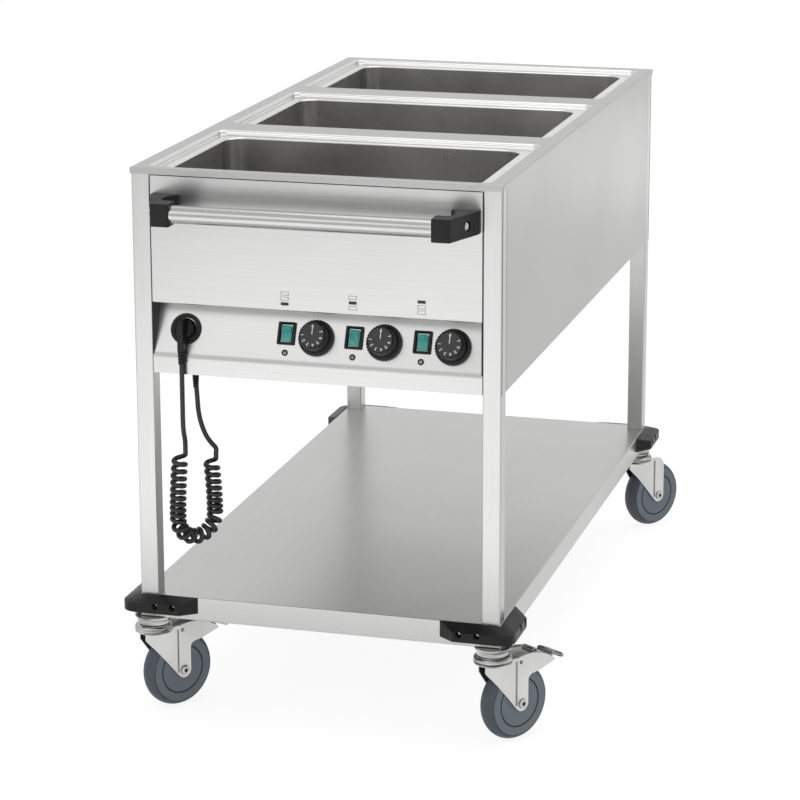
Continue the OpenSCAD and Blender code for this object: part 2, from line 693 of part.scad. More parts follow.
// A recessed screw in each bracket's outer side, which slants inwards from its root to its nose
cap_screw_out = 36;
cap_screw_d = 12;
cap_screw_x = handle_span / 2 - cap_screw_sunk
    - bracket_lean * (cap_screw_out - bracket_root) / (handle_out + bracket_nose - bracket_root);
module cap_screw_place(side) translate([side * cap_screw_x, front_y - cap_screw_out, handle_z])
    rotate([0, side * 90, 0]) children();

module handle_screws() color(bright) placed() for (side = [-1, 1]) {
    bracket_bolts(side) {
        translate([0, 0, -sheet - 8]) cylinder(d = bolt_d, h = 8 + sheet + 18);
        translate([0, 0, -sheet - 4]) cylinder(d = bolt_d + 5, h = 4, $fn = 6);
    }
    cap_screw_place(side) {
        translate([0, 0, -16]) cylinder(d = bolt_d, h = 17);
        difference() {
            cylinder(d = cap_screw_d, h = 3);
            translate([0, 0, 1]) cylinder(d = 6, h = 3, $fn = 6);
        }
    }
}

// ---- Casters ----

// Corner i as for the bumpers. In a caster's frame +X is the direction it trails in, and the
// axle runs along Y.
module at_caster(i) translate([i % 2 == 0 ? -post_axis_x : post_axis_x,
    i < 2 ? post_axis_front : post_axis_rear, 0]) rotate([0, 0, caster_turn]) children();

axle_z = wheel_d / 2;
crown_top = caster_h - head_h;
dish_top = caster_h - 14;
leg_in = wheel_w / 2 + 2.3;
hub_w = 2 * leg_in - 2 * seat;
axle_boss = 13;
rivet_x = 45;
rivet_z = crown_top - 8.5;
rivet_r = 3;
pad_root = pedal_reach - 25;     // where the pedal's pad begins
arm_end = pad_root + 2;
fin_end = pad_root + 4;

module caster_head(i) color(bright) placed() at_caster(i) {
    translate([0, 0, dish_top + seat]) cylinder(d = race_d - 8, h = caster_h - dish_top - seat);
    translate([0, 0, caster_h - 5]) cylinder(d = race_d - 2, h = 5);
    translate([0, 0, crown_top - crown_t - seat - 4])
        cylinder(d = kingpin_d, h = caster_h + 12 - (crown_top - crown_t - seat - 4));
    translate([0, 0, crown_top - crown_t - seat - 4]) cylinder(d = kingpin_d + 8, h = 4);
    translate([0, 0, caster_h + corner_plate_t]) cylinder(d = kingpin_d + 8, h = 6, $fn = 6);
}

// Outline of a fork's leg, seen along the axle. The leading edge is a straight line that
// touches the round boss, and a braked fork has a fin that shields its pedal.
lead_a = 219;
module leg_outline(braked) {
    lead = [trail + axle_boss * cos(lead_a), axle_z + axle_boss * sin(lead_a)];
    top_x = -sqrt(pow(race_d / 2 - seat, 2) - pow(leg_in + fork_t, 2));
    translate([trail, axle_z]) circle(axle_boss);
    polygon(concat(
        [[trail, axle_z], lead, [top_x, lead[1] + (lead[0] - top_x) / tan(lead_a - 180)],
        [top_x, crown_top]],
        braked ? [[rivet_x - 5, crown_top + 1.5], [rivet_x + 27, crown_top - 4.5],
            [fin_end - 10, crown_top - 16.5], [fin_end, crown_top - 19],
            [fin_end - 9, crown_top - 21.5], [rivet_x + 35, crown_top - 28.5],
            [trail + axle_boss, crown_top - 32]]
        : [[40, crown_top], [50, crown_top - 5], [trail + axle_boss, crown_top - 18]],
        [[trail + axle_boss, axle_z]]));
}

module caster_fork(i) color(bright) placed() at_caster(i) difference() {
    union() {
        for (y = [-leg_in - fork_t, leg_in]) translate([0, y + fork_t, 0]) rotate([90, 0, 0])
            linear_extrude(fork_t) leg_outline(i < 2);
        translate([0, 0, crown_top - crown_t]) cylinder(d = race_d, h = dish_top - crown_top + crown_t);
    }
    translate([0, 0, crown_top - 2 * crown_t])
        cylinder(d = kingpin_d + 2 * running, h = dish_top - crown_top + 3 * crown_t);
    translate([trail, 0, axle_z]) rotate([90, 0, 0])
        cylinder(d = axle_d + 2 * fit, h = 4 * leg_in, center = true);
    if (i < 2) translate([rivet_x, 0, rivet_z]) rotate([90, 0, 0])
        cylinder(r = rivet_r + running, h = 4 * leg_in, center = true);
}

module caster_wheel(i) color(tyre_grey) placed() at_caster(i) translate([trail, 0, axle_z])
    rotate([90, 0, 0]) difference() {
        crown = (wheel_d - wheel_side_d) / 2;
        rotate_extrude() union() {
            translate([axle_d / 2 + running, -wheel_w / 2])
                square([wheel_side_d / 2 - axle_d / 2 - running, wheel_w]);
            translate([axle_d / 2 + running, -hub_w / 2]) square([axle_boss - axle_d / 2, hub_w]);
            intersection() {
                translate([wheel_side_d / 2 - 1, -wheel_w / 2]) square([crown + 1, wheel_w]);
                translate([wheel_d / 2 - tread_r, 0]) circle(tread_r);
            }
        }
        for (side = [-1, 1]) translate([0, 0, side * wheel_w / 2]) difference() {
            cylinder(d = groove_d, h = 3, center = true);
            cylinder(d = groove_d - 3, h = 4, center = true);
        }
    }
// The tread's round crosses the flat side at wheel_side_d
tread_r = let (c = (wheel_d - wheel_side_d) / 2) (c * c + wheel_w * wheel_w / 4) / (2 * c);

module caster_axle(i) color(bright) placed() at_caster(i) translate([trail, 0, axle_z])
    rotate([90, 0, 0]) {
        cylinder(d = axle_d, h = 2 * (leg_in + fork_t) + 12, center = true);
        for (side = [-1, 1]) translate([0, 0, side * (leg_in + fork_t + 2.5)])
            cylinder(d = 17, h = 5, center = true, $fn = 6);
    }

// The pedal rocks on a rivet through the fork, between its legs
pedal_t = 3;
module brake_pedal(i) color(bright) placed() at_caster(i) {
    translate([0, pedal_half - 4, 0]) rotate([90, 0, 0]) linear_extrude(2 * (pedal_half - 4)) polygon([
        [rivet_x - 12, crown_top - 4], [rivet_x + 17, crown_top + 0.5],
        [arm_end - 20, crown_top - 5], [arm_end, crown_top - 13],
        [arm_end, crown_top - 13 - pedal_t], [arm_end - 20, crown_top - 5 - pedal_t],
        [rivet_x + 17, crown_top + 0.5 - pedal_t], [rivet_x - 12, crown_top - 4 - pedal_t]]);
    translate([pad_root, -pedal_half, crown_top - 12]) rotate([0, 24, 0])
        translate([0, 0, -5]) cube([pedal_reach - pad_root, 2 * pedal_half, 8]);
    translate([rivet_x + 33, -10, crown_top - 6]) rotate([0, 14, 0]) cube([12, 20, 12]);
    translate([rivet_x, 0, rivet_z]) rotate([90, 0, 0]) {
        cylinder(r = rivet_r, h = 2 * (leg_in + fork_t) + 4, center = true);
        cylinder(r = rivet_r + 1.5, h = 2 * (pedal_half - 4), center = true);
    }
}

corner_post(-post_axis_x, post_axis_front);  // post_front_left
corner_post(post_axis_x, post_axis_front);  // post_front_right
corner_post(-post_axis_x, post_axis_rear);  // post_rear_left
corner_post(post_axis_x, post_axis_rear);  // post_rear_right
top_plate();
well(0);  // well_front
well(1);  // well_middle
well(2);  // well_rear
heating_plates();
front_panel();
rear_panel();
side_panel(-1);  // left_panel
side_panel(1);  // right_panel
body_floor();
control_panel();
console_cheeks();
knob(0);  // knob_1
knob(1);  // knob_2
knob(2);  // knob_3
rocker(0);  // rocker_1
rocker(1);  // rocker_2
rocker(2);  // rocker_3
switch_housings();
pilot_lamps();
thermostats();
park_socket();
plug();
cord_gland();
cord_plug_lead();
cord_curls();
cord_entry_lead();
shelf();
shelf_stiffeners();
bumper(0);  // bumper_front_left
bumper(1);  // bumper_front_right
bumper(2);  // bumper_rear_left
bumper(3);  // bumper_rear_right
bumper_screws();
handle_tube();
bracket(-1);  // handle_bracket_left
bracket(1);  // handle_bracket_right
handle_screws();
caster_head(0);  // caster_head_front_left
caster_head(1);  // caster_head_front_right
caster_head(2);  // caster_head_rear_left
caster_head(3);  // caster_head_rear_right
caster_fork(0);  // caster_fork_front_left
caster_fork(1);  // caster_fork_front_right
caster_fork(2);  // caster_fork_rear_left
caster_fork(3);  // caster_fork_rear_right
caster_wheel(0);  // caster_wheel_front_left
caster_wheel(1);  // caster_wheel_front_right
caster_wheel(2);  // caster_wheel_rear_left
caster_wheel(3);  // caster_wheel_rear_right
caster_axle(0);  // caster_axle_front_left
caster_axle(1);  // caster_axle_front_right
caster_axle(2);  // caster_axle_rear_left
caster_axle(3);  // caster_axle_rear_right
brake_pedal(0);  // brake_pedal_front_left
brake_pedal(1);  // brake_pedal_front_right
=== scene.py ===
"""Hostess trolley: the finishes and the rounded, folded and turned shapes round the fixed frame.

Shapes are drawn in millimetres in the cart's own axes: x across the operator's end from its
middle, y back from the front edge of the top plate, z up from the floor. CART takes them into
the frame.
"""
import json
import math

import bmesh
import bpy
from mathutils import Matrix, Vector

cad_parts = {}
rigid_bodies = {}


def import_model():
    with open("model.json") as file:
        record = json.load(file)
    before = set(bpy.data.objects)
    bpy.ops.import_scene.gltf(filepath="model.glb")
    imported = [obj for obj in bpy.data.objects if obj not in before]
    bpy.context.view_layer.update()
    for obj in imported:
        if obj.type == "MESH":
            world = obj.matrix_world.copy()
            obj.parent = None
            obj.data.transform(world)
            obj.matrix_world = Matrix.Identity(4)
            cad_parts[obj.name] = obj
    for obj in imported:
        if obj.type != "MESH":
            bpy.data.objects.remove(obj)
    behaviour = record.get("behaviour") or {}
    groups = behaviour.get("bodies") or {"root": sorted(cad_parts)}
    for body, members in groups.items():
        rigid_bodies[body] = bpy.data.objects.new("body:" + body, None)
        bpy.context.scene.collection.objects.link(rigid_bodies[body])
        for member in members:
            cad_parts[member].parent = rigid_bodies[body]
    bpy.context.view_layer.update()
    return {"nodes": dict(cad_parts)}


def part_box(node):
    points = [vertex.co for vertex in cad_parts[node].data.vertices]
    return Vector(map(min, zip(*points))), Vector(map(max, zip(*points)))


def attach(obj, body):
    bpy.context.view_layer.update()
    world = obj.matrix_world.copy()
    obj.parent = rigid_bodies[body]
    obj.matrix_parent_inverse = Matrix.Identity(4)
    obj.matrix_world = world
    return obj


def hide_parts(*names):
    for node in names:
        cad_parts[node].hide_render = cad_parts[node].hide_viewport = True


for old in list(bpy.data.objects):
    bpy.data.objects.remove(old)
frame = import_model()


def shift(x=0, y=0, z=0):
    return Matrix.Translation((x, y, z))


def turn(degrees, axis):
    return Matrix.Rotation(math.radians(degrees), 4, axis)


# Outlines are drawn flat: these stand one drawn in y and z, or in x and z, on its edge
FROM_YZ = Matrix(((0, 0, 1, 0), (1, 0, 0, 0), (0, 1, 0, 0), (0, 0, 0, 1)))
FROM_XZ = Matrix(((1, 0, 0, 0), (0, 0, 1, 0), (0, 1, 0, 0), (0, 0, 0, 1)))

# ---- Sizes, in millimetres ----

MM = 0.001
BODY_W, BODY_L, BODY_H = 597, 1182, 898
BODY_Z = 571            # underside of the body
LIP_H = 9.7
UNDER_PLATE = BODY_H - LIP_H + 0.5    # upper end of the panels and posts, inside the fold
SHEET = 1.5
POST = 29.5
SEAM = 1.2              # open joint between a panel and a post
FACE_X = 296.5
INNER_X = 267
FRONT_Y, REAR_Y = 2, 1180
POST_X, POST_FRONT, POST_REAR = 281.75, 16.75, 1165.25
RECESS_W, RECESS_L, RECESS_R, RECESS_DEPTH = 540, 330, 10, 8
BASIN_W, BASIN_L, BASIN_R, BASIN_DEPTH = 498, 295, 30, 198
WELL_Y = (187, 588, 989)
CONSOLE_Z, CONSOLE_TOP, SETBACK = 601, 684, 36
SLOPE = math.degrees(math.atan2(SETBACK, CONSOLE_TOP - CONSOLE_Z))
KNOB_X = (-2.7, 106.9, 216.5)
SWITCH_X = (-51.5, 58.1, 167.7)
KNOB_S, SWITCH_S, LAMP_S, SOCKET_S = 41.6, 46.2, 15.7, 42.7
SOCKET_X = -217
PLUG_Y = -5
CASTER_H, SHELF_Z = 164, 202.7
RIM_X, RIM_FRONT, RIM_REAR, RIM_RETURN = 297.9, 0.6, 1181.4, 15
HANDLE_Z, TUBE_Y, TUBE_END, HANDLE_R = 841, -64, 226.5, 14
WHEEL_R, TRAIL, CASTER_TURN = 62.5, 43.7, 56
DISH_TOP, LEG_IN, FORK_T = 150, 18.3, 2.5
CORD_R = 3.9
PLACES = ("front_left", "front_right", "rear_left", "rear_right")

plate_low, plate_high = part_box("top_plate")
CART = (Matrix.Translation(((plate_low[0] + plate_high[0]) / 2, plate_low[1], 0))
        @ Matrix.Diagonal((MM, MM, MM, 1)))


def on_slope(x, s=0):
    """The console's sloping face: x across, y up the slope, z out of it."""
    return shift(x, FRONT_Y, CONSOLE_Z) @ turn(90 - SLOPE, "X") @ shift(0, s)


def at_caster(i):
    """Caster i: x is the way it trails, y runs along the axle."""
    return (shift(POST_X if i % 2 else -POST_X, POST_FRONT if i < 2 else POST_REAR)
            @ turn(CASTER_TURN, "Z"))


# ---- Camera ----

eye = Vector((1301.25, -4133.03, 1731.95))
yaw, pitch, roll = 0.2745814, 0.2398715, -0.0024852
ahead = Vector((-math.sin(yaw) * math.cos(pitch), math.cos(yaw) * math.cos(pitch),
                -math.sin(pitch)))
level = Vector((math.cos(yaw), math.sin(yaw), 0))
upright = level.cross(ahead)
right = level * math.cos(roll) + upright * math.sin(roll)
top = upright * math.cos(roll) - level * math.sin(roll)
camera_data = bpy.data.cameras.new("camera")
camera_data.sensor_width, camera_data.lens, camera_data.shift_y = 36, 130.18, -0.1
camera_data.clip_end = 50
camera = bpy.data.objects.new("camera", camera_data)
camera.matrix_world = (Matrix.Translation(CART @ eye)
                       @ Matrix((right, top, -ahead)).transposed().to_4x4())
bpy.context.scene.collection.objects.link(camera)
bpy.context.scene.camera = camera
bpy.context.scene.view_settings.view_transform = "Standard"


# ---- Finishes ----

def linear(code):
    """An sRGB hex colour as the renderer's linear one."""
    parts = [int(code[k:k + 2], 16) / 255 for k in (1, 3, 5)]
    return (*(c / 12.92 if c <= 0.04045 else ((c + 0.055) / 1.055) ** 2.4 for c in parts), 1)


def add(tree, kind, inputs=(), **settings):
    """Adds a node with its settings; an input takes a value or another node's output."""
    node = tree.nodes.new(kind)
    for name, value in settings.items():
        setattr(node, name, value)
    for socket, value in dict(inputs).items():
        if isinstance(value, bpy.types.NodeSocket):
            tree.links.new(value, node.inputs[socket])
        else:
            node.inputs[socket].default_value = value
    return node


def finish(name, colour, sockets):
    """A new material with its shader's constants; returns it, its node tree and its shader."""
    material = bpy.data.materials.new(name)
    material.use_nodes = True
    shader = material.node_tree.nodes["Principled BSDF"]
    shader.inputs["Base Color"].default_value = linear(colour)
    for socket, value in sockets.items():
        shader.inputs[socket].default_value = value
    return material, material.node_tree, shader


def pattern(tree, scale, detail=3):
    """A noise over the piece's own metres, with scale in waves per metre along each axis."""
    where = add(tree, "ShaderNodeTexCoord")
    mapped = add(tree, "ShaderNodeMapping",
                 {"Vector": where.outputs["Object"], "Scale": scale})
    return add(tree, "ShaderNodeTexNoise",
               {"Vector": mapped.outputs["Vector"], "Scale": 1, "Detail": detail}).outputs["Fac"]


def ranged(tree, value, low, high):
    """The middle of a noise spread from low to high."""
    return add(tree, "ShaderNodeMapRange",
               {"Value": value, "From Min": 0.3, "From Max": 0.7, "To Min": low,
                "To Max": high}).outputs["Result"]


def tinted(tree, shader, value, dark, pale):
    """Base colour between two shades, as the noise has it."""
    mix = add(tree, "ShaderNodeMix", {"Factor": ranged(tree, value, 0, 1)}, data_type="RGBA")
    # A colour mix keeps its colour sockets behind the ones for numbers
    mix.inputs[6].default_value, mix.inputs[7].default_value = linear(dark), linear(pale)
    tree.links.new(mix.outputs[2], shader.inputs["Base Color"])


def bumped(tree, shader, value, depth):
    """Relief of that depth in millimetres."""
    bump = add(tree, "ShaderNodeBump",
               {"Height": value, "Strength": 0.5, "Distance": depth * MM})
    tree.links.new(bump.outputs["Normal"], shader.inputs["Normal"])


def rough(tree, shader, value, low, high):
    tree.links.new(ranged(tree, value, low, high), shader.inputs["Roughness"])


def brushed(name, grain, dark, pale, low, high):
    """Sheet metal ground with a belt: long fine scratches along one axis. The real ones are
    0.1 mm apart; they are drawn 1 mm apart, so that they show as a soft grain."""
    material, tree, shader = finish(name, pale, {"Metallic": 1})
    across, along = 1000, 6
    scratches = pattern(tree, [along if axis == grain else across for axis in "XYZ"], 4)
    tinted(tree, shader, scratches, dark, pale)
    # Handling leaves broad patches that are a little duller
    patches = pattern(tree, (4, 4, 4), 2)
    both = add(tree, "ShaderNodeMath", {0: scratches, 1: patches}, operation="ADD")
    half = add(tree, "ShaderNodeMath", {0: both.outputs[0], 1: 0.5}, operation="MULTIPLY")
    rough(tree, shader, half.outputs[0], low, high)
    bumped(tree, shader, scratches, 0.004)
    return material


# Brushed 18/10 stainless sheet: pale, even, with a soft blurred reflection
STEEL_X = brushed("stainless_brushed_across", "X", "#b2b2b1", "#bababa", 0.27, 0.33)
STEEL_Y = brushed("stainless_brushed_along", "Y", "#b5b5b4", "#bdbdbc", 0.27, 0.33)
# The top plate and the sides: the same steel painted a shade darker, as painted shade
STEEL_PAINTED_SHADE = brushed("stainless_brushed_painted_shade", "Y", "#a0a09f", "#a8a8a7", 0.27, 0.33)
STEEL_Z = brushed("stainless_brushed_upright", "Z", "#b2b2b1", "#bababa", 0.27, 0.33)
# Centreless-ground handle tube: finer and glossier than the sheet
TUBE = brushed("stainless_ground_tube", "X", "#a3a3a2", "#adadac", 0.2, 0.26)
# Rolled aluminium of the heating plates
ALUMINIUM = brushed("aluminium_rolled", "X", "#c4c5c7", "#d0d1d3", 0.35, 0.45)


def moulded(name, dark, pale, grit, depth, low, high, sockets=()):
    """Plastic or rubber out of a spark-eroded mould, with grit in millimetres."""
    material, tree, shader = finish(name, pale, dict(sockets))
    waves = 1 / (grit * MM)
    grains = pattern(tree, (waves, waves, waves), 2)
    tinted(tree, shader, grains, dark, pale)
    rough(tree, shader, pattern(tree, (60, 60, 60), 3), low, high)
    bumped(tree, shader, grains, depth)
    return material


# Moulded glass-filled nylon of the brackets and bezels: near black, satin
BLACK = moulded("nylon_moulded_black", "#0f0f0e", "#181716", 0.9, 0.02, 0.34, 0.46,
               {"Specular IOR Level": 0.25})
# Moulded polypropylene of the corner bumpers: softer and greyer where the light rakes it
BUMPER = moulded("polypropylene_moulded", "#121212", "#1b1b1a", 1.2, 0.04,
                 0.36, 0.46, {"Specular IOR Level": 0.25})
# Phenolic knob: black skirt with a slight gloss
SKIRT = moulded("phenolic_moulded_black", "#100f0f", "#191817", 0.8, 0.02,
                0.3, 0.4, {"Specular IOR Level": 0.3})
# The knob's face is finely sandblasted, so that it looks dark grey
FACE = moulded("phenolic_blasted_face", "#2b2a2a", "#383636", 0.7, 0.03, 0.5, 0.62)
# Plasticised PVC of the curled mains cord: black with a waxy gloss
CORD = moulded("pvc_extruded_cord", "#0e0e0e", "#171616", 0.8, 0.01, 0.34, 0.44)
# Housings of the thermostats, hidden behind the sloping face
HOUSING = moulded("ceramic_pressed", "#c9c3b4", "#d8d3c6", 1, 0.03, 0.5, 0.6)
# Non-marking rubber tyre: blue grey, dull, with the sheen of a moulded tread
TREAD = moulded("rubber_moulded_tread", "#454e57", "#515b64", 1.4, 0.05, 0.5, 0.62)
# The wheel's polypropylene core is the same blue grey, paler and smoother
CORE = moulded("polypropylene_wheel_core", "#6b757c", "#77818a", 1, 0.02, 0.4, 0.5)
# Screen-printed ink: thin and flat
WHITE_INK = moulded("ink_printed_white", "#e2e2df", "#f0f0ee", 0.6, 0.005,
                    0.5, 0.6)
# The black ink also paints shade into the open joints, the wheels' grooves, the bolts' sockets and
# round the pedals' rivets
BLACK_INK_AND_SHADE = moulded("ink_black_and_painted_shade", "#1d1c1b", "#282726", 0.6, 0.005,
                    0.45, 0.55)
GREY_INK = moulded("ink_printed_grey", "#7c7b7a", "#8a8988", 0.6, 0.005,
                   0.5, 0.6)


def plated(name, dark, pale, low, high, cloud=30, rise=None):
    """Electroplated or polished metal, clouded; rise sets the clouds' height apart from their
    width, so that they lie as rings round a turned part, as painted reflection bands."""
    material, tree, shader = finish(name, pale, {"Metallic": 1})
    clouds = pattern(tree, (cloud, cloud, rise or cloud), 2)
    tinted(tree, shader, clouds, dark, pale)
    rough(tree, shader, clouds, low, high)
    return material


# Deep-drawn basin, left as it comes from the press: no grain, faintly clouded
BASIN = plated("stainless_deep_drawn", "#bebdbb", "#c7c6c4", 0.24, 0.3, 8)
# Its rim is polished where the food container slides in
RIM = plated("stainless_polished_rim", "#c6c6c5", "#d0d0cf", 0.18, 0.22, 8)
# Pressed steel fork under bright zinc: pale, with a soft mirror
FORK = plated("steel_bright_zinc", "#c2c2c1", "#d6d6d5", 0.2, 0.26, 12)
# Turned races of the swivel head, polished before plating; its dark and bright rings are painted
# reflections
PLATED_PAINTED_REFLECTIONS = plated("steel_plated_painted_reflections", "#2b2b2a", "#dededd", 0.06, 0.14, 20, 190)
# Painted shade in the legs' folds and along the pedal fins' edges: a dull dark zinc grey
FOLD_PAINTED_SHADE = plated("steel_zinc_painted_shade", "#5f5f5e", "#7d7d7b", 0.4, 0.5)
# Screws and bolts, nickel plated
SCREW = plated("steel_nickel_plated", "#b4b3b1", "#c7c6c4", 0.18, 0.28)


def lens():
    """Polycarbonate rocker over a neon lamp: clear green with a glossy skin."""
    material, tree, shader = finish("polycarbonate_green_lens", "#3a918c",
                                    {"IOR": 1.5, "Roughness": 0.18, "Coat Weight": 0.2,
                                     "Coat Roughness": 0.1, "Emission Strength": 0.1,
                                     "Emission Color": linear("#12b5a8")})
    # Moulding leaves the green deeper where the wall is thicker
    clouds = pattern(tree, (140, 140, 140), 3)
    tinted(tree, shader, clouds, "#007068", "#14a399")
    bumped(tree, shader, clouds, 0.04)
    return material


def clear_lamp():
    """Pilot lamp's clear polycarbonate cap with its facets, unlit."""
    material, tree, shader = finish("polycarbonate_clear_lamp", "#d9d8d4",
                                    {"IOR": 1.58, "Roughness": 0.08, "Metallic": 0.3,
                                     "Coat Weight": 0.5})
    clouds = pattern(tree, (500, 500, 500), 2)
    tinted(tree, shader, clouds, "#8f8e8c", "#f2f1ee")
    bumped(tree, shader, clouds, 0.05)
    return material


LENS = lens()
LAMP = clear_lamp()


# ---- Shapes ----

def rounded(form, edges, r, steps=3):
    if r:
        bmesh.ops.bevel(form, geom=list(edges), affect="EDGES", offset=r, offset_type="OFFSET",
                        segments=steps, profile=0.5, material=-1, clamp_overlap=True)
    return form


def block(w, l, h, r=1.0, steps=3, upright_r=None):
    """A block about its middle, with its edges rounded; upright_r rounds the upright ones."""
    form = bmesh.new()
    bmesh.ops.create_cube(form, size=1, matrix=Matrix.Diagonal((w, l, h, 1)))
    if upright_r is not None:
        rounded(form, [e for e in form.edges
                       if abs((e.verts[0].co - e.verts[1].co).z) > h / 2], upright_r, 5)
        rounded(form, [e for e in form.edges if e.calc_face_angle(0) > 1.2], r, steps)
        return form
    return rounded(form, form.edges, r, steps)


def turned(profile, steps=64, ring=False):
    """Spins (radius, height) points round the z axis; a ring's profile closes on itself."""
    form = bmesh.new()
    verts = [form.verts.new((r, 0, z)) for r, z in profile]
    pairs = list(zip(verts, verts[1:])) + ([(verts[-1], verts[0])] if ring else [])
    edges = [form.edges.new(pair) for pair in pairs]
    bmesh.ops.spin(form, geom=verts + edges, cent=(0, 0, 0), axis=(0, 0, 1), dvec=(0, 0, 0),
                   angle=math.tau, steps=steps, use_merge=True, use_duplicate=False)
    bmesh.ops.remove_doubles(form, verts=form.verts, dist=0.001)
    bmesh.ops.recalc_face_normals(form, faces=form.faces)
    return form


def rod(r, low, high, edge=0.5, steps=48, inner=0):
    """A round bar or tube from low to high, with its ends' edges broken."""
    outer = [(r - edge, low), (r, low + edge), (r, high - edge), (r - edge, high)]
    if inner:
        return turned([(inner, low), *outer, (inner, high)], steps, ring=True)
    return turned([(0, low), *outer, (0, high)], steps)


def extruded(points, h, r=0.0, corners=0.0, steps=3):
    """A plate with that outline from z 0 to h; corners rounds its upright edges."""
    form = bmesh.new()
    face = form.faces.new([form.verts.new((x, y, 0)) for x, y in points])
    made = bmesh.ops.extrude_face_region(form, geom=[face])["geom"]
    bmesh.ops.translate(form, vec=(0, 0, h),
                        verts=[g for g in made if isinstance(g, bmesh.types.BMVert)])
    bmesh.ops.recalc_face_normals(form, faces=form.faces)
    if corners:
        rounded(form, [e for e in form.edges
                       if abs((e.verts[0].co - e.verts[1].co).z) > h / 2], corners, 4)
    return rounded(form, [e for e in form.edges if e.calc_face_angle(0) > 0.5], r, steps)


def outline(form, w, l, r, z, steps=5, y=0):
    """A rounded rectangle's loop of edges round the z axis, or round the place y."""
    before = set(form.faces)
    corners = bmesh.ops.create_grid(form, x_segments=1, y_segments=1, size=0.5,
                                    matrix=shift(y=y, z=z) @ Matrix.Diagonal((w, l, 1, 1)))["verts"]
    bmesh.ops.bevel(form, geom=corners, affect="VERTICES", offset=r, offset_type="OFFSET",
                    segments=steps, profile=0.5, material=-1)
    face = next(f for f in form.faces if f not in before)
    edges = list(face.edges)
    bmesh.ops.delete(form, geom=[face], context="FACES_ONLY")
    return edges


def lofted(sections, steps=5, first=False, last=False, ring=False):
    """Skins rounded rectangles (width, length, corner radius, height) one after the other."""
    form = bmesh.new()
    loops = [outline(form, *section, steps=steps) for section in sections]
    for a, b in zip(loops, loops[1:] + loops[:1] if ring else loops[1:]):
        bmesh.ops.bridge_loops(form, edges=a + b)
    for wanted, loop in ((first, loops[0]), (last, loops[-1])):
        if wanted:
            bmesh.ops.contextual_create(form, geom=loop)
    return form


def faced(form, way):
    """Turns an open sheet's visible side to way, as its widest face has it."""
    bmesh.ops.recalc_face_normals(form, faces=form.faces)
    widest = max(form.faces, key=lambda face: face.calc_area())
    if widest.normal.dot(Vector(way)) < 0:
        bmesh.ops.reverse_faces(form, faces=form.faces)
    return form


def folded(profile, half, r, way, steps=4):
    """Sheet along x from -half to half, folded at the (y, z) points of its profile."""
    form = bmesh.new()
    verts = [form.verts.new((-half, y, z)) for y, z in profile]
    edges = [form.edges.new(pair) for pair in zip(verts, verts[1:])]
    made = bmesh.ops.extrude_edge_only(form, edges=edges)["geom"]
    bmesh.ops.translate(form, vec=(2 * half, 0, 0),
                        verts=[g for g in made if isinstance(g, bmesh.types.BMVert)])
    rounded(form, [e for e in form.edges if len(e.link_faces) == 2], r, steps)
    return faced(form, way)


def bend(w, l, r, z, size, kind, steps=4):
    """Loft sections round a bend of that size. "into" turns from a flat at z down into an
    opening of w by l, "over" from a flat at z down a block's outside of w by l, and "floor"
    from a wall of w by l onto a floor at z."""
    made = []
    for k in range(steps + 1):
        s, c = math.sin(math.pi / 2 * k / steps), math.cos(math.pi / 2 * k / steps)
        out, up = {"into": (size * (1 - s), -size * (1 - c)),
                   "over": (-size * (1 - s), -size * (1 - c)),
                   "floor": (-size * (1 - c), size * (1 - s))}[kind]
        made.append((w + 2 * out, l + 2 * out, max(r + out, 0.4), z + up))
    return made


def merged(*forms):
    whole = bmesh.new()
    for form in forms:
        mesh = bpy.data.meshes.new("form")
        form.to_mesh(mesh)
        form.free()
        whole.from_mesh(mesh)
        bpy.data.meshes.remove(mesh)
    return whole


def moved(form, at):
    form.transform(at)
    if at.determinant() < 0:
        bmesh.ops.reverse_faces(form, faces=form.faces)
    return form


def from_cad(node):
    """A merged copy of a node's mesh, in the cart's own millimetres."""
    form = bmesh.new()
    form.from_mesh(frame["nodes"][node].data)
    bmesh.ops.remove_doubles(form, verts=form.verts, dist=1e-6)
    form.transform(CART.inverted())
    bmesh.ops.dissolve_limit(form, angle_limit=math.radians(2), verts=form.verts,
                             edges=form.edges)
    return form


def evaluated(obj):
    """Applies the object's modifiers."""
    graph = bpy.context.evaluated_depsgraph_get()
    made = bpy.data.meshes.new_from_object(obj.evaluated_get(graph))
    obj.modifiers.clear()
    obj.data = made


def piece(name, form, material, nodes=(), body="cart", wall=0.0, edge=0.0, crease=32, cuts=()):
    """A finished piece: its thickness and broken edges in millimetres, its shading, finish,
    body and the nodes that it stands for. cuts are shapes that are taken out of it."""
    form.transform(CART)
    mesh = bpy.data.meshes.new(name)
    form.to_mesh(mesh)
    form.free()
    obj = bpy.data.objects.new(name, mesh)
    bpy.context.scene.collection.objects.link(obj)
    cutters = []
    for cut in cuts:
        cut.transform(CART)
        tool = bpy.data.objects.new("cutter", bpy.data.meshes.new("cutter"))
        cut.to_mesh(tool.data)
        cut.free()
        bpy.context.scene.collection.objects.link(tool)
        taken = obj.modifiers.new("cut", "BOOLEAN")
        taken.object, taken.operation, taken.solver = tool, "DIFFERENCE", "EXACT"
        cutters.append(tool)
    if wall:
        sheet = obj.modifiers.new("wall", "SOLIDIFY")
        sheet.thickness, sheet.offset, sheet.use_even_offset = wall * MM, -1, True
    if edge:
        broken = obj.modifiers.new("edges", "BEVEL")
        broken.width, broken.segments, broken.limit_method = edge * MM, 2, "ANGLE"
        broken.angle_limit = math.radians(crease)
    evaluated(obj)
    for tool in cutters:
        bpy.data.objects.remove(tool)
    obj.data.polygons.foreach_set("use_smooth", [True] * len(obj.data.polygons))
    obj.data.set_sharp_from_angle(angle=math.radians(crease))
    weighted = obj.modifiers.new("normals", "WEIGHTED_NORMAL")
    weighted.keep_sharp = True
    evaluated(obj)
    obj.data.name = name
    obj.data.materials.clear()
    obj.data.materials.append(material)
    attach(obj, body)
    if nodes:
        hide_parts(*([nodes] if isinstance(nodes, str) else nodes))
    return obj


# ---- Cord ----

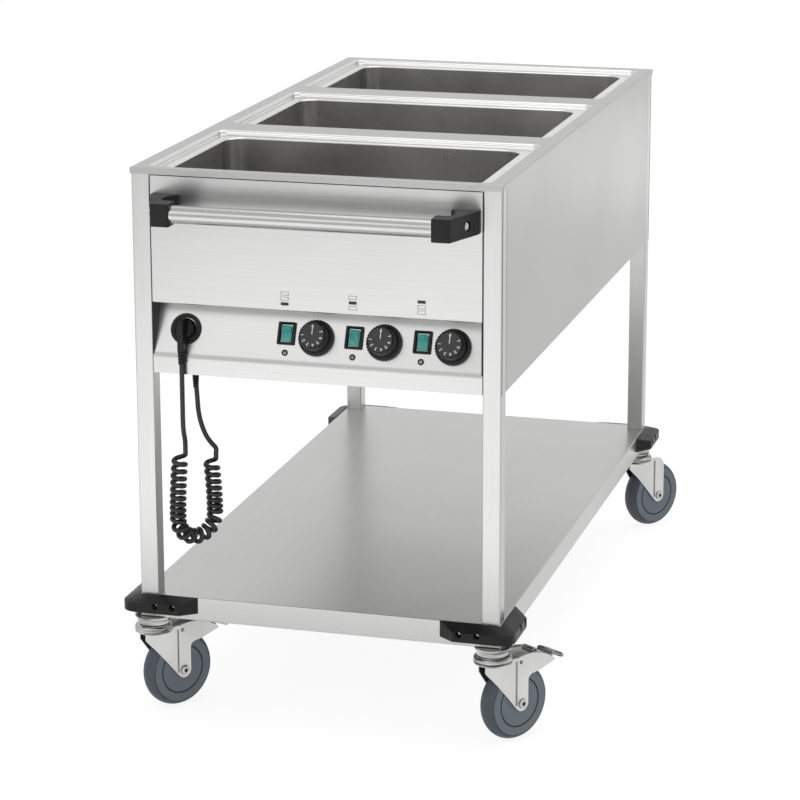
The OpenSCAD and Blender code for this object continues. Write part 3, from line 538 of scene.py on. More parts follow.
CURL_R, CURLS_DOWN, CURLS_BEND, CURLS_UP = 9.7, 9, 8, 7.5
CURL_PITCH, CURL_STRETCH, LOOP_LEAN, BEND_R = 10.5, 0.18, 6, 34
RINGS = 24
GLAND_X, GLAND_Y, GLAND_H = -214, 50, 9
loop_left = (SOCKET_X - 10.5, -7)
loop_way = Vector((0.64, 0.77)).normalized()
loop_z = BODY_Z - 236
down_len, bend_len, up_len = ((CURLS_DOWN + 1) * CURL_PITCH, math.pi * BEND_R,
                              (CURLS_UP + 1) * CURL_PITCH)
cord_total = down_len + bend_len + up_len


def in_loop(q, z):
    return Vector((loop_left[0] + q * loop_way[0], loop_left[1] + q * loop_way[1], z))


def loop_mid(s):
    """Middle of the curled stretch: a column down, half a turn round, a column up."""
    if s < down_len:
        return in_loop(LOOP_LEAN * (1 - s / down_len) ** 2, loop_z + down_len - s)
    if s < down_len + bend_len:
        a = math.pi * (s - down_len) / bend_len
        return in_loop(BEND_R * (1 - math.cos(a)), loop_z - BEND_R * math.sin(a))
    h = s - down_len - bend_len
    return in_loop(2 * BEND_R - LOOP_LEAN * (h / up_len) ** 2, loop_z + h)


def curl_out(s, turns):
    a = min(max(math.pi * (s - down_len) / bend_len, 0), math.pi)
    inwards = Vector((math.cos(a) * loop_way[0], math.cos(a) * loop_way[1], math.sin(a)))
    sideways = Vector((-loop_way[1], loop_way[0], 0))
    return inwards * math.cos(math.tau * turns) + sideways * math.sin(math.tau * turns)


def drawn(f):
    """Height of the share f of a column's curls: its upper curls are drawn apart."""
    return (1 - CURL_STRETCH) * f + CURL_STRETCH * f * f


EASE = RINGS // 2 + 1
all_turns = CURLS_DOWN + CURLS_BEND + CURLS_UP + 1
curl_steps = ([(-2 * CORD_R, 0)]
              + [(CURL_PITCH * k / EASE, 0.5 * (k / EASE) ** 2) for k in range(EASE)]
              + [(down_len - CURL_PITCH * CURLS_DOWN * drawn(1 - k / (CURLS_DOWN * RINGS)),
                  0.5 + k / RINGS) for k in range(CURLS_DOWN * RINGS)]
              + [(down_len + bend_len * k / (CURLS_BEND * RINGS), 0.5 + CURLS_DOWN + k / RINGS)
                 for k in range(CURLS_BEND * RINGS)]
              + [(down_len + bend_len + CURL_PITCH * CURLS_UP * drawn(k / (CURLS_UP * RINGS)),
                  0.5 + CURLS_DOWN + CURLS_BEND + k / RINGS)
                 for k in range(int(CURLS_UP * RINGS) + 1)]
              + [(cord_total - CURL_PITCH * k / EASE, all_turns - 0.5 * (k / EASE) ** 2)
                 for k in reversed(range(EASE))]
              + [(cord_total + 2 * CORD_R, all_turns)])
curls = []
for along, turns in curl_steps:
    held = min(max(along, 0), cord_total)
    curls.append(loop_mid(held) + CURL_R * curl_out(held, turns)
                 + Vector((0, 0, abs(along - held))))


def flowing(points, steps=5):
    """A smooth line through points."""
    ends = [2 * points[0] - points[1], *points, 2 * points[-1] - points[-2]]
    line = []
    for a, b, c, d in zip(ends, ends[1:], ends[2:], ends[3:]):
        line += [0.5 * (2 * b + (c - a) * t + (2 * a - 5 * b + 4 * c - d) * t ** 2
                        + (3 * b - 3 * c + d - a) * t ** 3)
                 for t in (k / steps for k in range(steps))]
    return [*line, points[-1]]


plug_points = [Vector((SOCKET_X, PLUG_Y, z)) for z in (600, 580, 560, 540, 520, 500)] + [
    Vector((SOCKET_X, -4, 486)), Vector((SOCKET_X, -1, 474)), Vector((SOCKET_X, 2.5, 465)),
    curls[0] + Vector((0, 0, 8)), curls[0]]
entry_points = [curls[-1], curls[-1] + Vector((0, 0, 8))] + [
    Vector((x, GLAND_Y, z)) for x, z in (
        (-190, 448), (-197, 457), (-202, 467), (-206, 478), (-209, 490), (-211, 504),
        (-212, 520), (-213, 535), (-214, 550), (-214, 562))]
route = (flowing(entry_points)[::-1] + curls[::-1][1:-1] + flowing(plug_points)[::-1])

cord_data = bpy.data.curves.new("mains_cord", "CURVE")
cord_data.dimensions = "3D"
cord_data.bevel_depth, cord_data.bevel_resolution = CORD_R * MM, 3
cord_data.use_fill_caps = True
spline = cord_data.splines.new("POLY")
spline.points.add(len(route) - 1)
for point, place in zip(spline.points, route):
    point.co = (*(CART @ place), 1)
spline.use_smooth = True
cord = bpy.data.objects.new("mains_cord", cord_data)
bpy.context.scene.collection.objects.link(cord)
cord_data.materials.append(CORD)
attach(cord, "cart")
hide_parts("cord_plug_lead", "cord_curls", "cord_entry_lead")


# ---- Plug, park socket and cord gland ----

def ribbed(low, high, wide, narrow, ribs):
    """A strain relief's sleeve, tapering down from high, with ribs round it."""
    step = (high - low) / ribs
    profile = [(CORD_R - 0.4, low)]
    for k in range(ribs):
        r = narrow + (wide - narrow) * (k + 0.5) / ribs
        z = low + k * step
        profile += [(r - 0.7, z), (r, z + 0.15 * step), (r, z + 0.6 * step),
                    (r - 0.9, z + 0.75 * step)]
    return turned([*profile, (wide, high), (CORD_R - 0.4, high)], 32, ring=True)


PLUG_HALF = 4.9
plug_head = turned([(0, -14), (16.6, -14), (16.9, -13.5), (16.9, 3), (16.2, 5), (15.2, 9),
                    (14.2, 11.2), (12.4, 12.2), (0, 12.4)], 48)
plug_head.transform(on_slope(SOCKET_X, SOCKET_S))
# The spine is a bar bent from the head straight down to the cord
spine = extruded([(-11.5, 609), (1.5, 609), (9, 622), (24, 648), (20, 655.5), (4, 661.5),
                  (-6.5, 661.5), (-10.5, 657.5), (-11.5, 652)], 2 * PLUG_HALF, 1.6, 2.4, 3)
spine.transform(shift(SOCKET_X - PLUG_HALF) @ FROM_YZ)
grips = [moved(block(3, 15, 9, 1.2), on_slope(SOCKET_X + side * 13.2, SOCKET_S - 1)
               @ shift(z=8) @ turn(side * 14, "Y")) for side in (-1, 1)]
sleeve = ribbed(589, 611, 6.2, 5.4, 4)
sleeve.transform(shift(SOCKET_X, PLUG_Y))
plug = piece("plug", merged(plug_head, spine, *grips, sleeve), BLACK, "plug")

flange = turned([(0, -18), (19.5, -18), (20, -17.4), (20, -1), (25, -0.2), (25, 2.4),
                 (24.3, 3.3), (19.6, 3.5), (19.3, 2.6), (18, 2.4), (17.9, -1), (17.6, -14.5),
                 (0, -14.8)], 64)
flange.transform(on_slope(SOCKET_X, SOCKET_S))
piece("park_socket", flange, BLACK, "park_socket")

nut = moved(rod(9, -GLAND_H, 0, 1, 6), shift(GLAND_X, GLAND_Y, BODY_Z))
thread = moved(rod(6, 0, 14, 0.6, 24), shift(GLAND_X, GLAND_Y, BODY_Z))
relief = ribbed(538, 562.5, 5.8, 4.5, 6)
relief.transform(shift(GLAND_X, GLAND_Y))
gland = piece("cord_gland", merged(nut, thread, relief), BLACK, "cord_gland")


# ---- Body ----

for place, x, y in zip(PLACES, (-POST_X, POST_X, -POST_X, POST_X),
                       (POST_FRONT, POST_FRONT, POST_REAR, POST_REAR)):
    foot, head = SHELF_Z, UNDER_PLATE
    piece(f"post_{place}", moved(block(POST, POST, head - foot, 0.3, 1, upright_r=2),
                                 shift(x, y, (foot + head) / 2)), STEEL_Z, f"post_{place}")

# The top plate's outer edge is folded down, and each opening meets its basin's rolled edge
EDGE_R = 5
PLATE_STEPS = 8
plate = bmesh.new()
rims = [outline(plate, *section, steps=PLATE_STEPS) for section in
        bend(BODY_W, BODY_L, 1.6, BODY_H, 1.4, "over") + [(BODY_W, BODY_L, 1.6, BODY_H - LIP_H)]]
for upper, lower in zip(rims, rims[1:]):
    bmesh.ops.bridge_loops(plate, edges=upper + lower)
openings = [outline(plate, RECESS_W + 2 * EDGE_R, RECESS_L + 2 * EDGE_R, RECESS_R + EDGE_R,
                    BODY_H, steps=PLATE_STEPS, y=y - BODY_L / 2) for y in WELL_Y]
bmesh.ops.triangle_fill(plate, use_beauty=True, use_dissolve=False,
                        edges=rims[0] + [e for opening in openings for e in opening])
piece("top_plate", moved(faced(plate, (0, 0, 1)), shift(y=BODY_L / 2)), STEEL_PAINTED_SHADE, "top_plate",
      wall=SHEET)

ledge_z = BODY_H - RECESS_DEPTH
for place, y in zip(("front", "middle", "rear"), WELL_Y):
    mouth = bend(BASIN_W, BASIN_L, BASIN_R, ledge_z, 3, "into")
    rim = lofted(bend(RECESS_W, RECESS_L, RECESS_R, BODY_H, EDGE_R, "into")
                 + bend(RECESS_W, RECESS_L, RECESS_R, ledge_z, 2.8, "floor") + mouth[:4],
                 steps=PLATE_STEPS)
    basin = lofted(mouth[3:] + bend(BASIN_W - 2, BASIN_L - 2, BASIN_R - 1, ledge_z - BASIN_DEPTH,
                                    14, "floor", 6), steps=PLATE_STEPS, last=True)
    piece(f"well_{place}_rim", moved(faced(rim, (0, 0, 1)), shift(y=y)), RIM, (), wall=1)
    piece(f"well_{place}", moved(faced(basin, (0, 0, 1)), shift(y=y)), BASIN, f"well_{place}",
          wall=1)

piece("front_panel", folded([(FRONT_Y, UNDER_PLATE), (FRONT_Y, CONSOLE_TOP),
                             (FRONT_Y + SETBACK + 1.2, CONSOLE_TOP)], INNER_X - SEAM, 2.2,
                            (0, -1, 0)), STEEL_X, "front_panel", wall=SHEET, edge=0.3)
piece("control_panel", folded([(FRONT_Y, BODY_Z), (FRONT_Y, CONSOLE_Z),
                               (FRONT_Y + SETBACK, CONSOLE_TOP)], INNER_X - 0.3, 5,
                              (0, -1, 0)), STEEL_X, "control_panel", wall=SHEET, edge=0.3)
panel_h = UNDER_PLATE - BODY_Z
piece("rear_panel", moved(block(2 * (INNER_X - SEAM), SHEET, panel_h, 0.4, 2),
                          shift(0, REAR_Y - SHEET / 2, BODY_Z + panel_h / 2)), STEEL_X,
      "rear_panel")
for name, side in (("left_panel", -1), ("right_panel", 1)):
    piece(name, moved(block(SHEET, REAR_Y - FRONT_Y - 2 * (POST + SEAM), panel_h, 0.4, 2),
                      shift(side * (FACE_X - SHEET / 2), BODY_L / 2, BODY_Z + panel_h / 2)),
          STEEL_PAINTED_SHADE, name)
# Painted shade: black strips in the open joints between sheets, on each post's side just behind its
# front corner, and in the line under the top plate's fold
seam_mid = BODY_Z + panel_h / 2
seam_shadows = [moved(block(1, 1.3, panel_h - 1, 0.1, 1), shift(side * (FACE_X - 1), y, seam_mid))
         for side in (-1, 1) for y in (FRONT_Y + POST + 0.6, REAR_Y - POST - 0.6)]
seam_shadows += [moved(block(0.3, 3, panel_h - 1, 0.1, 1), shift(side * (FACE_X + 0.02), y, seam_mid))
          for side in (-1, 1) for y in (FRONT_Y + 3.2, REAR_Y - 3.2)]
seam_shadows += [moved(block(1.3, 1, panel_h - 1, 0.1, 1), shift(side * (INNER_X - 0.6), y, seam_mid))
          for side in (-1, 1) for y in (FRONT_Y + 1.3, REAR_Y - 1.3)]
seam_shadows += [moved(block(2 * INNER_X - 4, 1, 1.8, 0.1, 1),
                shift(0, y, BODY_H - LIP_H - 0.9)) for y in (1.6, BODY_L - 1.6)]
CHEEK = 2
cheeks = []
for x in (-INNER_X + 0.2, INNER_X - 0.2 - CHEEK):
    cheek = extruded([(FRONT_Y + 0.4, CONSOLE_Z), (FRONT_Y + SETBACK, CONSOLE_TOP),
                      (FRONT_Y + 0.4, CONSOLE_TOP)], CHEEK, 0.3)
    cheeks.append(moved(cheek, shift(x) @ FROM_YZ))
piece("console_cheeks", merged(*cheeks), BLACK, "console_cheeks")
piece("sheet_seam_shadows", merged(*seam_shadows), BLACK_INK_AND_SHADE)


# ---- Controls ----

KNOB_LOW, KNOB_TOP = 0.6, 27.6
for i, x in enumerate(KNOB_X):
    body, at = f"knob_{i + 1}", on_slope(x, KNOB_S)
    grip = turned([(0, KNOB_LOW), (27.8, KNOB_LOW), (28.9, 1.5), (29, 4.4), (28.6, 5.6),
                   (27.4, 6.3), (24.6, 6.6), (23.8, 7.4), (21.6, 24), (21, 26.4), (20.4, 27.3),
                   (19.6, KNOB_TOP), (19.2, 27.2), (0, 27.2)], 144)
    # Finger flutes round the skirt
    for vert in grip.verts:
        r = math.hypot(vert.co.x, vert.co.y)
        if r > 27:
            dip = 1 - 0.045 * (1 - math.cos(36 * math.atan2(vert.co.y, vert.co.x))) / 2
            vert.co.x, vert.co.y = vert.co.x * dip, vert.co.y * dip
    piece(f"knob_{i + 1}", moved(grip, at), SKIRT, f"knob_{i + 1}", body)
    piece(f"knob_{i + 1}_face", moved(rod(19.1, 26.9, 27.45, 0.2, 72), at), FACE, (), body)
    marks = []
    for k, degrees in enumerate((180, 216, 250, 283, 314, 346, 25)):
        figure = bpy.data.curves.new("figure", "FONT")
        figure.body, figure.size, figure.extrude = str(k + 1), 7, 0.06
        figure.offset = 0.12
        figure.align_x, figure.align_y = "CENTER", "CENTER"
        written = bpy.data.objects.new("figure", figure)
        mark = bmesh.new()
        mark.from_mesh(bpy.data.meshes.new_from_object(written))
        bpy.data.objects.remove(written)
        a = math.radians(degrees)
        marks.append(moved(mark, shift(15.2 * math.cos(a), 15.2 * math.sin(a), 27.5)
                           @ turn(degrees - 90, "Z")))
    arrow = extruded([(-0.7, 1.5), (0.7, 1.5), (0.7, 13.6), (2.2, 12.8), (0, 17.8),
                      (-2.2, 12.8), (-0.7, 13.6)], 0.12)
    piece(f"knob_{i + 1}_marks", moved(merged(*marks, moved(arrow, shift(z=27.44))), at),
          WHITE_INK, (), body, crease=80)

BEZEL_W, BEZEL_L, WINDOW_W, WINDOW_L = 29, 36, 16.6, 27
housings, lamp_rings, lamp_caps = [], [], []
for i, x in enumerate(SWITCH_X):
    at = on_slope(x, SWITCH_S)
    bezel = lofted([(BEZEL_W - 7, BEZEL_L - 6, 1, -20), (BEZEL_W - 7, BEZEL_L - 6, 1, 0),
                    (BEZEL_W, BEZEL_L, 1.6, 0), *[(w, l, r, 3 + z) for w, l, r, z in
                    bend(BEZEL_W, BEZEL_L, 2, 0, 1, "over", 3)[::-1]],
                    (WINDOW_W + 4.4, WINDOW_L + 4.4, 1.4, 2.8), (WINDOW_W + 0.6, WINDOW_L + 0.6,
                    0.8, 0.6), (WINDOW_W, WINDOW_L, 0.8, -17), (2, 2, 0.5, -17),
                    (2, 2, 0.5, -20)], ring=True)
    bmesh.ops.recalc_face_normals(bezel, faces=bezel.faces)
    housings.append(moved(bezel, at))
    # The rocker's two faces meet at a blunt ridge, and ribs stand on its pressed half
    half = WINDOW_L / 2 - 0.7
    rocker = extruded([(-half, 3.9), (-half * 0.5, 3.1), (0, 2.6), (half * 0.5, 3.1),
                       (half, 3.9), (half - 1.6, -1), (4, -8), (-4, -8), (1.6 - half, -1)],
                      WINDOW_W - 0.8, 0.35, 0.6, 2)
    rocker.transform(shift(0.4 - WINDOW_W / 2) @ FROM_YZ)
    ribs = [moved(block(WINDOW_W - 4, 0.7, 0.7, 0.25, 2), shift(0, half - 1.6 - 1.5 * k,
                                                                 3.7 - 0.17 * k))
            for k in range(3)]
    piece(f"rocker_{i + 1}", moved(merged(rocker, *ribs), at @ shift(z=1) @ turn(8, "X")), LENS,
          f"rocker_{i + 1}", f"rocker_{i + 1}")
    lamp_at = on_slope(x, LAMP_S)
    lamp_rings.append(moved(merged(
        turned([(0, -14), (4, -14), (4, 0), (5, 0.2), (5, 0.9), (4.6, 1.5), (4.1, 1.7),
                (3.9, 1.3), (3.8, 0.4), (0, 0.4)], 32), rod(1.1, 2.5, 3, 0.2, 8)), lamp_at))
    cap = bmesh.new()
    bmesh.ops.create_cone(cap, cap_ends=True, segments=6, radius1=3.7, radius2=1.5, depth=2.4,
                          matrix=shift(z=1.5))
    lamp_caps.append(moved(cap, lamp_at))
piece("switch_bezels", merged(*housings), BLACK, "switch_housings", crease=40)
piece("pilot_lamp_rings", merged(*lamp_rings), BLACK, "pilot_lamps")
piece("pilot_lamp_caps", merged(*lamp_caps), LAMP, (), crease=5)


def print_on_panel(u, v, w, h):
    """A printed rectangle's middle and size on the front panel."""
    return moved(block(w, 0.1, h, 0.03, 1), shift(u, FRONT_Y - 0.02, v))


# Each well has a sign above its switch: the cart's three wells, with its own filled in
filled, thin = [], []
for i, x in enumerate(SWITCH_X):
    for k in range(3):
        u, v = x + 3, 695 + 8.2 * k
        if k == i:
            filled.append(print_on_panel(u, v, 12.8, 5))
            continue
        for dz in (-2.6, 2.6):
            thin.append(print_on_panel(u, v + dz, 13, 0.8))
        for dx in (-6.1, 6.1):
            thin.append(print_on_panel(u + dx, v, 0.8, 6))
piece("well_signs_filled", merged(*filled), BLACK_INK_AND_SHADE)
piece("well_signs_outlined", merged(*thin), GREY_INK)


# ---- Shelf ----

RIM_W, RIM_L = 2 * RIM_X, RIM_REAR - RIM_FRONT
shelf = lofted(bend(RIM_W, RIM_L, 3, SHELF_Z, 2, "over")
               + bend(RIM_W, RIM_L, 3, CASTER_H, 2, "floor")
               + [(2 * (RIM_X - RIM_RETURN), RIM_L - 2 * RIM_RETURN, 0.6, CASTER_H)], first=True)
piece("shelf", moved(faced(shelf, (0, 0, 1)), shift(y=BODY_L / 2)), STEEL_Y, "shelf", wall=SHEET)
# A plate in each corner under the shelf carries a caster's kingpin
CORNER_PLATE, CORNER_T = 78, 3
corners = [moved(block(CORNER_PLATE - 1, CORNER_PLATE - 1, CORNER_T, 0.5, 1),
                 shift(sx * (RIM_X - CORNER_PLATE / 2), y, CASTER_H + CORNER_T / 2 + 0.1))
           for sx in (-1, 1) for y in (RIM_FRONT + CORNER_PLATE / 2, RIM_REAR - CORNER_PLATE / 2)]
piece("shelf_corner_plates", merged(*corners), STEEL_Y)


# ---- Bumpers ----

for i, place in enumerate(PLACES):
    piece(f"bumper_{place}", from_cad(f"bumper_{place}"), BUMPER, f"bumper_{place}", edge=1.6,
          crease=25)


def screw_head(r, h, recess):
    """A pan head with a hexagon recess, its seat at z 0 and its axis along z."""
    return turned([(0, -2), (r, -2), (r, h - 1.2), (r - 0.5, h - 0.4), (r - 1.6, h),
                   (recess, h), (recess, h - 1.6), (0, h - 1.8)], 36)


SCREW_A, SCREW_PITCH, SCREW_Z, SCREW_SEAT = 33, 29, -13, 12
heads = []
for i in range(4):
    sx, sy = (-1, 1)[i % 2], (-1, 1)[i > 1]
    corner = shift(sx * RIM_X, RIM_FRONT if i < 2 else RIM_REAR, SHELF_Z + SCREW_Z)
    for a in (SCREW_A, SCREW_A + SCREW_PITCH):
        heads.append(moved(screw_head(4.4, 3, 2), corner @ shift(-sx * a, sy * SCREW_SEAT)
                           @ turn(-90 * sy, "X")))
        heads.append(moved(screw_head(4.4, 3, 2), corner @ shift(sx * SCREW_SEAT, -sy * a)
                           @ turn(90 * sx, "Y")))
piece("bumper_screws", merged(*heads), SCREW, "bumper_screws")


# ---- Handle ----

tube = rod(HANDLE_R, -TUBE_END, TUBE_END, 0.8, 64, HANDLE_R - SHEET)
piece("handle_tube", moved(tube, shift(0, TUBE_Y, HANDLE_Z) @ turn(90, "Y")), TUBE,
      "handle_tube")

BRACKET_H = 36
CAP_X, CAP_Y = 247.6, -34
caps = []
for name, side in (("left", -1), ("right", 1)):
    plan = [(262.5, 2), (262.5, -5), (256, -24), (237.5, -76), (236, -80), (208, -80),
            (206.5, -77.5), (206.5, -49.5), (223, -49.5), (229.5, -45.5), (232, -36), (230, -20),
            (223, -8), (218.5, -5), (218.5, 2)]
    bracket = extruded([(side * x, y) for x, y in plan][::side], BRACKET_H, 2.2, 0.0, 3)
    bracket.transform(shift(z=HANDLE_Z - BRACKET_H / 2))
    recess = moved(rod(8, 0, 20, 0.4, 36), shift(side * (CAP_X - 1), CAP_Y, HANDLE_Z)
                   @ turn(side * 90, "Y"))
    piece(f"handle_bracket_{name}", bracket, BLACK, f"handle_bracket_{name}", cuts=[recess],
          crease=35)
    caps.append(moved(turned([(0, -4), (7.2, -4), (7.2, 3), (6.4, 4.2), (5, 4.2), (4.2, 1.2),
                              (0, 1)], 36),
                      shift(side * CAP_X, CAP_Y, HANDLE_Z) @ turn(side * 90, "Y")))
piece("handle_screws", merged(*caps), SCREW, "handle_screws")


# ---- Casters ----

BOSS_R = 13
STRIP_X, STRIP_STEP = 31.4, 2.2     # where a leg's strip begins, and how far it stands out
RIVET = (41, 0, 131.5)              # pivot of the brake pedal
PAD = shift(123, 0, 124.4) @ turn(24, "Y")
for i, place in enumerate(PLACES):
    at = at_caster(i)
    swivel, wheel = f"swivel_{place}", f"wheel_{place}"
    braked = i < 2
    races = turned([(0, CASTER_H), (30, CASTER_H), (30.2, 162.6), (29.6, 161), (28.4, 159.6),
                    (27, 158.9), (26.4, 157.6), (26.3, 154), (26, 151.6), (25, 150.4),
                    (0, 150.4)], 64)
    pin = rod(6, 130, CASTER_H + 12, 0.6, 24)
    pin_nut = rod(10, CASTER_H + 3, CASTER_H + 9, 0.8, 6)
    piece(f"caster_head_{place}", moved(merged(races, pin, pin_nut), at), PLATED_PAINTED_REFLECTIONS,
          f"caster_head_{place}")

    crown = turned([(6.2, DISH_TOP), (23, DISH_TOP), (26.5, 149.4), (29.4, 147.6), (30.8, 145),
                    (31, 142.6), (30.4, 141.2), (29.2, 140.6), (29.2, 139.8), (30.6, 139.2),
                    (31, 138), (30.6, 136.6), (29.6, 136), (6.2, 136)], 64, ring=True)
    boss = [(TRAIL + BOSS_R * math.cos(a), WHEEL_R + BOSS_R * math.sin(a))
            for a in (math.radians(219 + 14.1 * k) for k in range(11))]
    fin = ([(50, 142.6), (64, 142.4), (80, 139.4), (94, 134), (106, 127), (113.5, 121.6),
            (114, 120.2), (111, 118.4), (98, 114.6), (86, 111), (74, 108.4), (64, 107.6),
            (58.6, 104.4), (56.7, 99)] if braked
           else [(40, 140), (48, 137), (54, 130), (56.7, 122)])
    start = [(-22.6, 123.7), (-22.6, 139.5), (12, 139.5), (26, 139.5), (34, 140.2), (42, 141.6)]
    shape = start[: 6 if braked else 4] + fin
    legs, shades, hole_shades = [], [], []
    for side in (-1, 1):
        leg = extruded(boss + shape[::-1], FORK_T, 0.5, 0, 2)
        leg.transform(FROM_XZ)
        bmesh.ops.recalc_face_normals(leg, faces=leg.faces)
        for x in (33.6, STRIP_X, 25, 15, 5, -5, -14):
            bmesh.ops.bisect_plane(leg, geom=list(leg.verts) + list(leg.edges) + list(leg.faces),
                                   plane_co=(x, 0, 0), plane_no=(1, 0, 0))
        for vert in leg.verts:
            # The leg's strip is pressed outwards, and the plate before it runs in to the crown
            joggle = min(max((vert.co.x - STRIP_X) / STRIP_STEP, 0), 1) * STRIP_STEP - 1.4
            lean = 10 * (max(25 - vert.co.x, 0) / 47.6) ** 2
            vert.co.y += LEG_IN + joggle - lean
        if side < 0:
            leg.transform(Matrix.Diagonal((1, -1, 1, 1)))
            bmesh.ops.reverse_faces(leg, faces=leg.faces)
        legs.append(leg)
        # Painted shade: a dark strip on each leg's joggle, and on a braked fork dark lines along
        # the fin's edge
        shades.append(moved(block(2.1, 0.5, 74, 0.2, 1),
                            shift(32.5, side * (LEG_IN + 2.4), 97) @ turn(side * 42, "Z")))
        if braked:
            edge = [(44, 142.3), (54, 143.1), (66, 142.6), (80, 139.8), (94, 134.4), (108, 126.6)]
            for a, b in zip(edge, edge[1:]):
                run = math.hypot(b[0] - a[0], b[1] - a[1])
                shades.append(moved(rod(0.7, -0.3, run + 0.3, 0.2, 12),
                                    shift(a[0], side * (LEG_IN + 3.2), a[1])
                                    @ turn(math.degrees(math.atan2(b[0] - a[0], b[1] - a[1])),
                                           "Y")))
            # Painted shade round the pedal's rivet
            hole_shades.append(moved(rod(3, 20, 22.2, 0.2, 20), shift(*RIVET)
                               @ turn(side * -90, "X")))
    piece(f"caster_crown_{place}", moved(crown, at), PLATED_PAINTED_REFLECTIONS, (), swivel)
    piece(f"caster_fork_{place}", moved(merged(*legs), at), FORK, f"caster_fork_{place}", swivel)
    piece(f"caster_fold_shades_{place}", moved(merged(*shades), at), FOLD_PAINTED_SHADE, (), swivel)

    hub = at @ shift(TRAIL, 0, WHEEL_R) @ turn(90, "X")
    half = [(54.6, 14.4), (55.2, 15.6), (57.6, 13.4), (60, 9.6), (61.7, 5.6), (62.4, 1.8)]
    tyre = turned([*[(r, -z) for r, z in half], *half[::-1]], 96, ring=True)
    piece(f"caster_tyre_{place}", moved(tyre, hub), TREAD, f"caster_wheel_{place}", wheel)
    side_profile = [(5.1, 18), (12.5, 18), (13, 17.4), (13.4, 15.6), (38.2, 15.4), (38.4, 12.6),
                    (40.8, 12.6), (41, 15.6), (48, 16), (54.1, 15.9), (54.5, 15.2)]
    core = turned([(r, -z) for r, z in side_profile] + side_profile[::-1], 96, ring=True)
    piece(f"caster_core_{place}", moved(core, hub), CORE, (), wheel)

    # Painted shade: black in the wheel's groove and in the bolts' sockets
    hole_shades += [moved(turned([(38.5, 12.4), (40.7, 12.4), (40.7, 14.4), (38.5, 14.4)], 96, ring=True),
                    at.inverted() @ hub @ turn(180 * k, "X")) for k in (0, 1)]
    hole_shades += [moved(rod(3.9, 21, 24, 0.2, 6), at.inverted() @ hub @ turn(180 * k, "X"))
              for k in (0, 1)]
    piece(f"caster_hole_shades_{place}", moved(merged(*hole_shades), at), BLACK_INK_AND_SHADE, (), swivel)
    bolt = rod(5, -22, 22, 0.8, 24)
    ends = [moved(rod(8, 21.6, 25.4, 1, 6, 3.8), turn(180 * k, "X")) for k in (0, 1)]
    washers = [moved(rod(9.5, 20.8, 21.8, 0.3, 32), turn(180 * k, "X")) for k in (0, 1)]
    piece(f"caster_axle_{place}", moved(merged(bolt, *ends, *washers), hub), SCREW,
          f"caster_axle_{place}", swivel)

    if braked:
        arm = extruded([(33, 136), (62, 140.5), (92, 135), (112, 127), (112, 124), (92, 132),
                        (62, 137.5), (33, 133)], 28, 0.6, 0, 2)
        arm.transform(shift(0, 14) @ turn(90, "X"))
        roll = moved(rod(5.2, -13, 13, 1, 24), shift(78, 0, 139.5) @ turn(90, "X"))
        pad = moved(block(27, 36, 6, 1.4), PAD)
        treads = [moved(block(2.2, 33, 2, 0.6, 2), PAD @ shift(-10 + 5 * k, 0, 3.4))
                  for k in range(5)]
        rivet = moved(rod(1.5, -22.8, 22.8, 0.4, 20), shift(*RIVET) @ turn(90, "X"))
        piece(f"brake_pedal_{place}", moved(merged(arm, roll, pad, *treads, rivet), at), PLATED_PAINTED_REFLECTIONS,
              f"brake_pedal_{place}", f"pedal_{place}")


# ---- Nodes that keep their own shape ----

for node, material in {"body_floor": STEEL_Y, "shelf_stiffeners": STEEL_X,
                       "heating_plates": ALUMINIUM, "thermostats": HOUSING}.items():
    kept = frame["nodes"][node]
    kept.data.materials.clear()
    kept.data.materials.append(material)


# ---- Floor, surroundings and lamps ----

def seen_white(tree):
    """1 for what the camera, a reflection or a clear part sees, and 0 for light on a surface."""
    rays = add(tree, "ShaderNodeLightPath")
    either = add(tree, "ShaderNodeMath", {0: rays.outputs["Is Camera Ray"],
                                          1: rays.outputs["Is Glossy Ray"]}, operation="ADD")
    return add(tree, "ShaderNodeMath", {0: either.outputs[0],
                                        1: rays.outputs["Is Transmission Ray"]},
               operation="ADD", use_clamp=True).outputs[0]


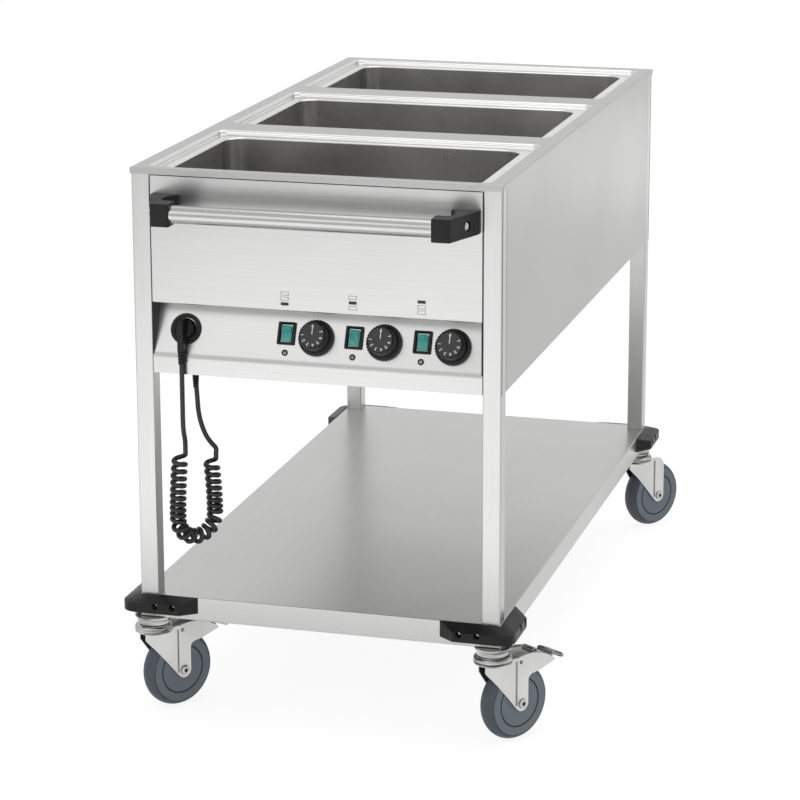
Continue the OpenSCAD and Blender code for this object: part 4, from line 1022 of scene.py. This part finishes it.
# White all round, and plain soft light from it
world = bpy.data.worlds.new("studio")
world.use_nodes = True
bpy.context.scene.world = world
tree = world.node_tree
surround = tree.nodes["Background"]
surround.inputs["Color"].default_value = (1, 1, 1, 1)
strength = add(tree, "ShaderNodeMapRange", {"Value": seen_white(tree), "To Min": 0.55,
                                            "To Max": 1.0})
tree.links.new(strength.outputs["Result"], surround.inputs["Strength"])

# Painted studio floor: white, and it keeps the cart's shadow
floor_paint = bpy.data.materials.new("paint_white_floor")
floor_paint.use_nodes = True
tree = floor_paint.node_tree
output = tree.nodes["Material Output"]
tree.nodes.remove(tree.nodes["Principled BSDF"])
shade = add(tree, "ShaderNodeBsdfDiffuse", {"Color": (0.85, 0.85, 0.85, 1)})
glow = add(tree, "ShaderNodeEmission", {"Color": (1, 1, 1, 1), "Strength": 1.24})
share = add(tree, "ShaderNodeMath", {0: seen_white(tree), 1: 0.7}, operation="MULTIPLY")
both = add(tree, "ShaderNodeMixShader", {0: share.outputs[0], 1: shade.outputs[0],
                                         2: glow.outputs[0]})
tree.links.new(both.outputs[0], output.inputs["Surface"])
ground = bmesh.new()
bmesh.ops.create_grid(ground, x_segments=1, y_segments=1, size=30)
floor_mesh = bpy.data.meshes.new("floor")
ground.to_mesh(floor_mesh)
ground.free()
floor = bpy.data.objects.new("floor", floor_mesh)
floor_mesh.materials.append(floor_paint)
bpy.context.scene.collection.objects.link(floor)


def softbox(name, place, aim, w, h, watts):
    """A rectangular lamp at place, in metres, turned towards aim."""
    data = bpy.data.lights.new(name, "AREA")
    data.shape, data.size, data.size_y, data.energy = "RECTANGLE", w, h, watts
    lamp = bpy.data.objects.new(name, data)
    lamp.location = place
    lamp.rotation_mode = "QUATERNION"
    lamp.rotation_quaternion = (Vector(aim) - Vector(place)).to_track_quat("-Z", "Y")
    lamp.visible_camera = False
    bpy.context.scene.collection.objects.link(lamp)


softbox("key", (-1.6, -3.6, 3.0), (0, -0.4, 0.6), 2.4, 1.6, 12)
softbox("overhead", (0.4, 0.2, 3.2), (0, 0, 0.5), 2.6, 2.6, 25)
# Pale boards on the floor, whose light the front and the right side pass on to the camera
softbox("front_board", (-0.6, -3.05, 0.03), (-0.6, -3.0, 3), 1.7, 4.1, 22)
softbox("side_board", (1.0, 4.4, 0.03), (1.0, 4.35, 3), 1.6, 1.6, 3.5)
